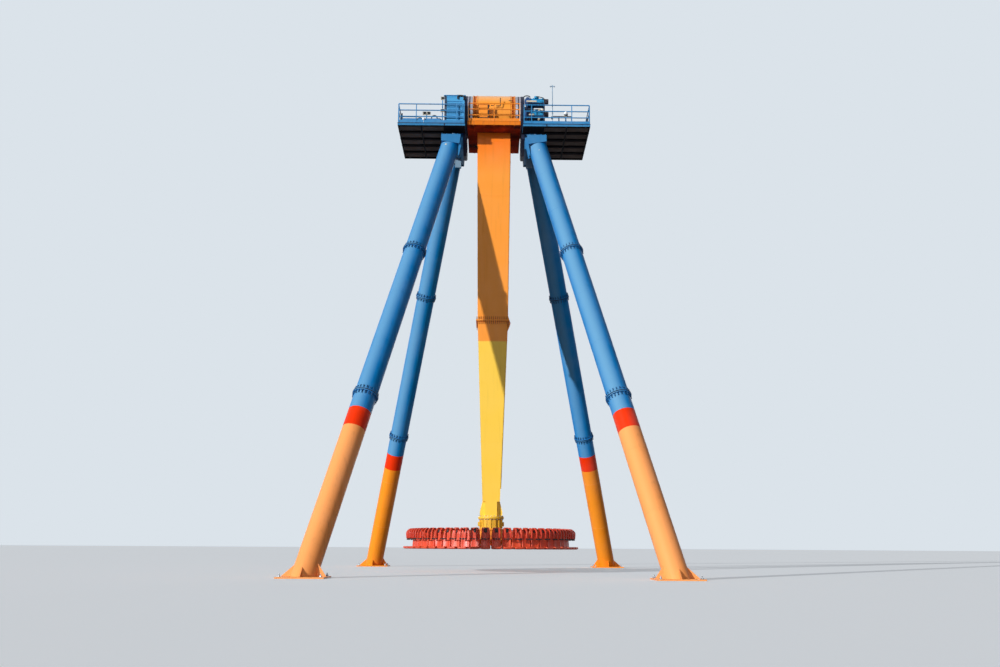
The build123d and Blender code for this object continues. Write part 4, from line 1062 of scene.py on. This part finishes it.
bm = bmesh.new()
for x in (1.10, 2.30, 3.35):
    low_z, high_z = spoke_level(x)
    for y in (-0.116, 0.116):
        chamfered(bm, (x, y, (low_z + high_z) / 2), (0.34, 0.014, (high_z - low_z) * 0.86), 0.004)
        for dx, dz in product((-0.12, -0.04, 0.04, 0.12), (-0.28, 0.28)):
            centre = (x + dx, y, (low_z + high_z) / 2 + dz * (high_z - low_z))
            turned_part(bm, centre, copysign(1, y) * BACK, ((0.005, 0.017), (0.024, 0.017)), 6)
    chamfered(bm, (x, 0, high_z + 0.006), (0.34, 0.20, 0.014), 0.004,
              Matrix.Rotation(atan2(high_z - spoke_level(x + 1.0)[1], 1.0), 3, "Y"))
set_round("spoke_splices", bm, spoke_count, gondola_paint, "gondola_paint")

bm = bmesh.new()
for z in (hub_under + 0.030, hub_under + 0.320):
    turned_part(bm, (0.795, 0, z), ACROSS, ((0.0, 0.02), (0.02, 0.02)), 6)
chamfered(bm, (0.803, 0, hub_under + 0.175), (0.012, 0.30, 0.20), 0.004)
for y, z in product((-0.12, 0.12), (hub_under + 0.10, hub_under + 0.25)):
    turned_part(bm, (0.807, y, z), ACROSS, ((0.0, 0.014), (0.014, 0.014)), 6)
bmesh.ops.transform(bm, matrix=Matrix.Rotation(pi / spoke_count, 4, "Z"), verts=bm.verts)   # between two spokes
set_round("hub_covers", bm, spoke_count, gondola_paint, "gondola_paint")

bm = bmesh.new()
for y in (-0.13, 0.13):
    outline = [(3.700, 1.562), (3.848, 1.562), (3.848, 2.060), (3.800, 2.060)]
    lofted(bm, [[(x, y + t, z) for x, z in outline] for t in (-0.006, 0.006)])
    for z in (1.66, 1.98):
        turned_part(bm, (3.832, y + 0.03, z), -ACROSS, ((0.0, 0.013), (0.014, 0.013)), 6)
pipe(bm, [(3.80, -0.215, 2.00), (3.80, 0.215, 2.00)], 0.022)
set_round("seat_brackets", bm, seat_count, gondola_paint, "gondola_paint")


# Seats: a shell moulded in one with side wings, a hollow for the back and a rolled front edge

def cushioned(name, bm):
    """The mesh of a bmesh with its edges rounded by subdivision."""

    def prepare(rounding):
        rounding.levels = rounding.render_levels = 1

    return evaluated(meshed(name, bm), "SUBSURF", prepare)


def wing_section(half, near, far, hollow, round_off):
    """Half widths and depths of a seat section: far side first, then the wings and the hollow."""
    return [(-half + round_off, near), (half - round_off, near), (half, near + round_off),
            (half, far - round_off), (half - round_off * 0.8, far), (half * 0.74, far - hollow * 0.12),
            (half * 0.46, far - hollow), (-half * 0.46, far - hollow), (-half * 0.74, far - hollow * 0.12),
            (-half + round_off * 0.8, far), (-half, far - round_off), (-half, near + round_off)]


bm = bmesh.new()
back_rows = ((1.124, 0.226, 4.006, 0.010), (1.150, 0.229, 4.009, 0.014), (1.300, 0.229, 4.006, 0.030),
             (1.500, 0.229, 3.994, 0.042), (1.700, 0.229, 3.980, 0.040), (1.800, 0.226, 3.972, 0.034),
             (1.900, 0.200, 3.960, 0.022), (2.000, 0.186, 3.946, 0.016), (2.090, 0.160, 3.936, 0.016),
             (2.134, 0.140, 3.926, 0.012), (2.147, 0.110, 3.915, 0.006))
lofted(bm, [[(x, y, z) for y, x in wing_section(half, 3.853, far, hollow, 0.024)]
            for z, half, far, hollow in back_rows])
pan_rows = ((4.000, 1.238, 0.020), (4.060, 1.240, 0.026), (4.200, 1.244, 0.030), (4.330, 1.250, 0.024),
            (4.420, 1.253, 0.014), (4.462, 1.244, 0.008), (4.477, 1.222, 0.004))
lofted(bm, [[(x, y, z) for y, z in wing_section(0.209 if x > 4.45 else 0.229, 1.122 + max(0.0, x - 4.42) * 0.9,
                                                 top, hollow, 0.022)]
            for x, top, hollow in pan_rows][::-1])
set_round("seat_shells", cushioned("seat_shell_one", bm), seat_count, seat_plastic, "seat_red_plastic",
          "seat_backs", "seat_pans")

# Head pads, set on the shells between the two restraint arms
bm = bmesh.new()
sections = []
for z, half, depth in ((1.905, 0.070, 0.010), (1.925, 0.092, 0.024), (2.010, 0.098, 0.030), (2.080, 0.092, 0.026),
                       (2.105, 0.070, 0.010)):
    face = 3.955 - 0.10 * (z - 1.90)
    crown = [(face + depth * (1 - (abs(y) / half) ** 3 * 0.4), y, z) for y in (half * k / 3 for k in range(-3, 4))]
    sections.append(crown + [(face - 0.015, half * 0.9, z), (face - 0.015, -half * 0.9, z)])
lofted(bm, sections)
head_pads = set_round("head_pads", cushioned("head_pad_one", bm), seat_count, foam_skin, "restraint_foam")


# Shoulder restraints: a foam sleeve runs over each shoulder and swells into the chest pad

def sleeve_section(centre, run, half_width, half_depth):
    """A crowned section, square to its run, with a pinched seam on each side."""
    up = BACK.cross(run).normalized()
    out = []
    for k in range(12):
        a = 2 * pi * k / 12
        c, s = cos(a), sin(a)
        pinch = 0.93 if k in (0, 6) else 1.0
        wide = copysign(abs(c) ** 0.62, c) * half_width * pinch
        deep = copysign(abs(s) ** 0.62, s) * half_depth
        out.append(centre + BACK * wide + up * deep)
    return out


sleeve_y = 0.135                    # how far a sleeve runs from the middle of its seat
sleeve_line = ((3.955, 2.030, 0.034, 0.034), (3.985, 2.046, 0.038, 0.038), (4.040, 2.074, 0.041, 0.040),
               (4.090, 2.094, 0.043, 0.040), (4.130, 2.096, 0.044, 0.040), (4.180, 2.076, 0.044, 0.040),
               (4.235, 2.030, 0.044, 0.041), (4.283, 1.972, 0.044, 0.042), (4.303, 1.920, 0.044, 0.043),
               (4.303, 1.860, 0.044, 0.044), (4.297, 1.790, 0.044, 0.044), (4.291, 1.720, 0.044, 0.044),
               (4.286, 1.670, 0.043, 0.043), (4.283, 1.648, 0.036, 0.036), (4.282, 1.642, 0.020, 0.020))
bm = bmesh.new()
for y in (-sleeve_y, sleeve_y):
    centres = [Vector((x, y, z)) for x, z, _, _ in sleeve_line]
    sections = []
    for index, (_, _, wide, deep) in enumerate(sleeve_line):
        run = centres[min(index + 1, len(centres) - 1)] - centres[max(index - 1, 0)]
        sections.append(sleeve_section(centres[index], run, wide, deep))
    lofted(bm, sections)
shoulder_pads = set_round("shoulder_pads", bm, seat_count, red_foam_skin, "restraint_foam",
                          "restraint_arms", "restraint_pads")

# Grips: a bar between the pads with two ribbed handles and a latch in the middle
bm = bmesh.new()
grip_x, grip_z = 4.280, 1.600
pipe(bm, [(grip_x, -0.176, grip_z), (grip_x, 0.176, grip_z)], 0.017)
for y in (-sleeve_y, sleeve_y):
    ribs = [(0.012 * k - 0.036, 0.026 if k % 2 else 0.023) for k in range(7)]
    turned_part(bm, (grip_x, y, grip_z), BACK, [(-0.042, 0.022), *ribs, (0.042, 0.022)], 10)
    chamfered(bm, (grip_x - 0.004, y, grip_z + 0.030), (0.040, 0.050, 0.024), 0.006)
chamfered(bm, (grip_x, 0, grip_z), (0.070, 0.080, 0.070), 0.014)
set_round("hand_grips", bm, seat_count, rubber_and_painted_shade, "restraint_foam", "restraint_grips")


# Closing: stage and light, then the sizes

def seen_plainly(tree, *rays):
    """1 for the camera's rays and for the other named ones, which see the plain background, and else 0."""
    seen = None
    for ray in ("Is Camera Ray", *rays):
        one = add(tree, "LightPath", out=ray)
        seen = one if seen is None else add(tree, "Math", {0: seen, 1: one}, operation="MAXIMUM")
    return seen


def floor_coat(tree, _):
    """A matt studio floor that looks pale, keeps the object's shadow and throws little light back."""
    seen = seen_plainly(tree, "Is Glossy Ray")
    return {"Base Color": over(tree, "#8f9194", "#dcdfe2", seen),
            "Emission Strength": add(tree, "Math", {0: seen, 1: 0.38}, operation="MULTIPLY")}


floor_reach, floor_sides = 900.0, 96
floor_mesh = bpy.data.meshes.new("floor")
floor_mesh.from_pydata(circle((0, 0, -0.002), UP, floor_reach, floor_sides), [], [tuple(range(floor_sides))])
floor_mesh.materials.append(finish("pale_studio_floor", {
    "Roughness": 0.85, "Specular IOR Level": 0.0, "Emission Color": linear("#e4e9ee")}, floor_coat))
floor = placed("floor", floor_mesh)
floor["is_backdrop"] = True

world = bpy.data.worlds.new("studio")
bpy.context.scene.world = world
world.use_nodes = True
world.node_tree.nodes.clear()
seen = seen_plainly(world.node_tree, "Is Glossy Ray", "Is Transmission Ray")
sky = over(world.node_tree, "#575b60", "#dbe3ea", seen)
background = add(world.node_tree, "Background", {"Color": sky, "Strength": 1.0})
add(world.node_tree, "OutputWorld", {"Surface": background})

for name, toward, strength, spread_angle in (("key", (-0.695, -0.683, 0.225), 3.5, 1.0),
                                             ("fill", (0.05, -1.0, 0.15), 0.55, 40),
                                             ("back", (0.10, 1.0, 0.20), 0.45, 40)):
    lamp = bpy.data.lights.new(name, "SUN")
    lamp.energy = strength
    lamp.angle = radians(spread_angle)
    lamp_object = placed(name, lamp)
    lamp_object.rotation_euler = Vector(toward).to_track_quat("Z", "Y").to_euler()

bpy.context.scene.view_settings.view_transform = "Standard"

low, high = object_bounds()
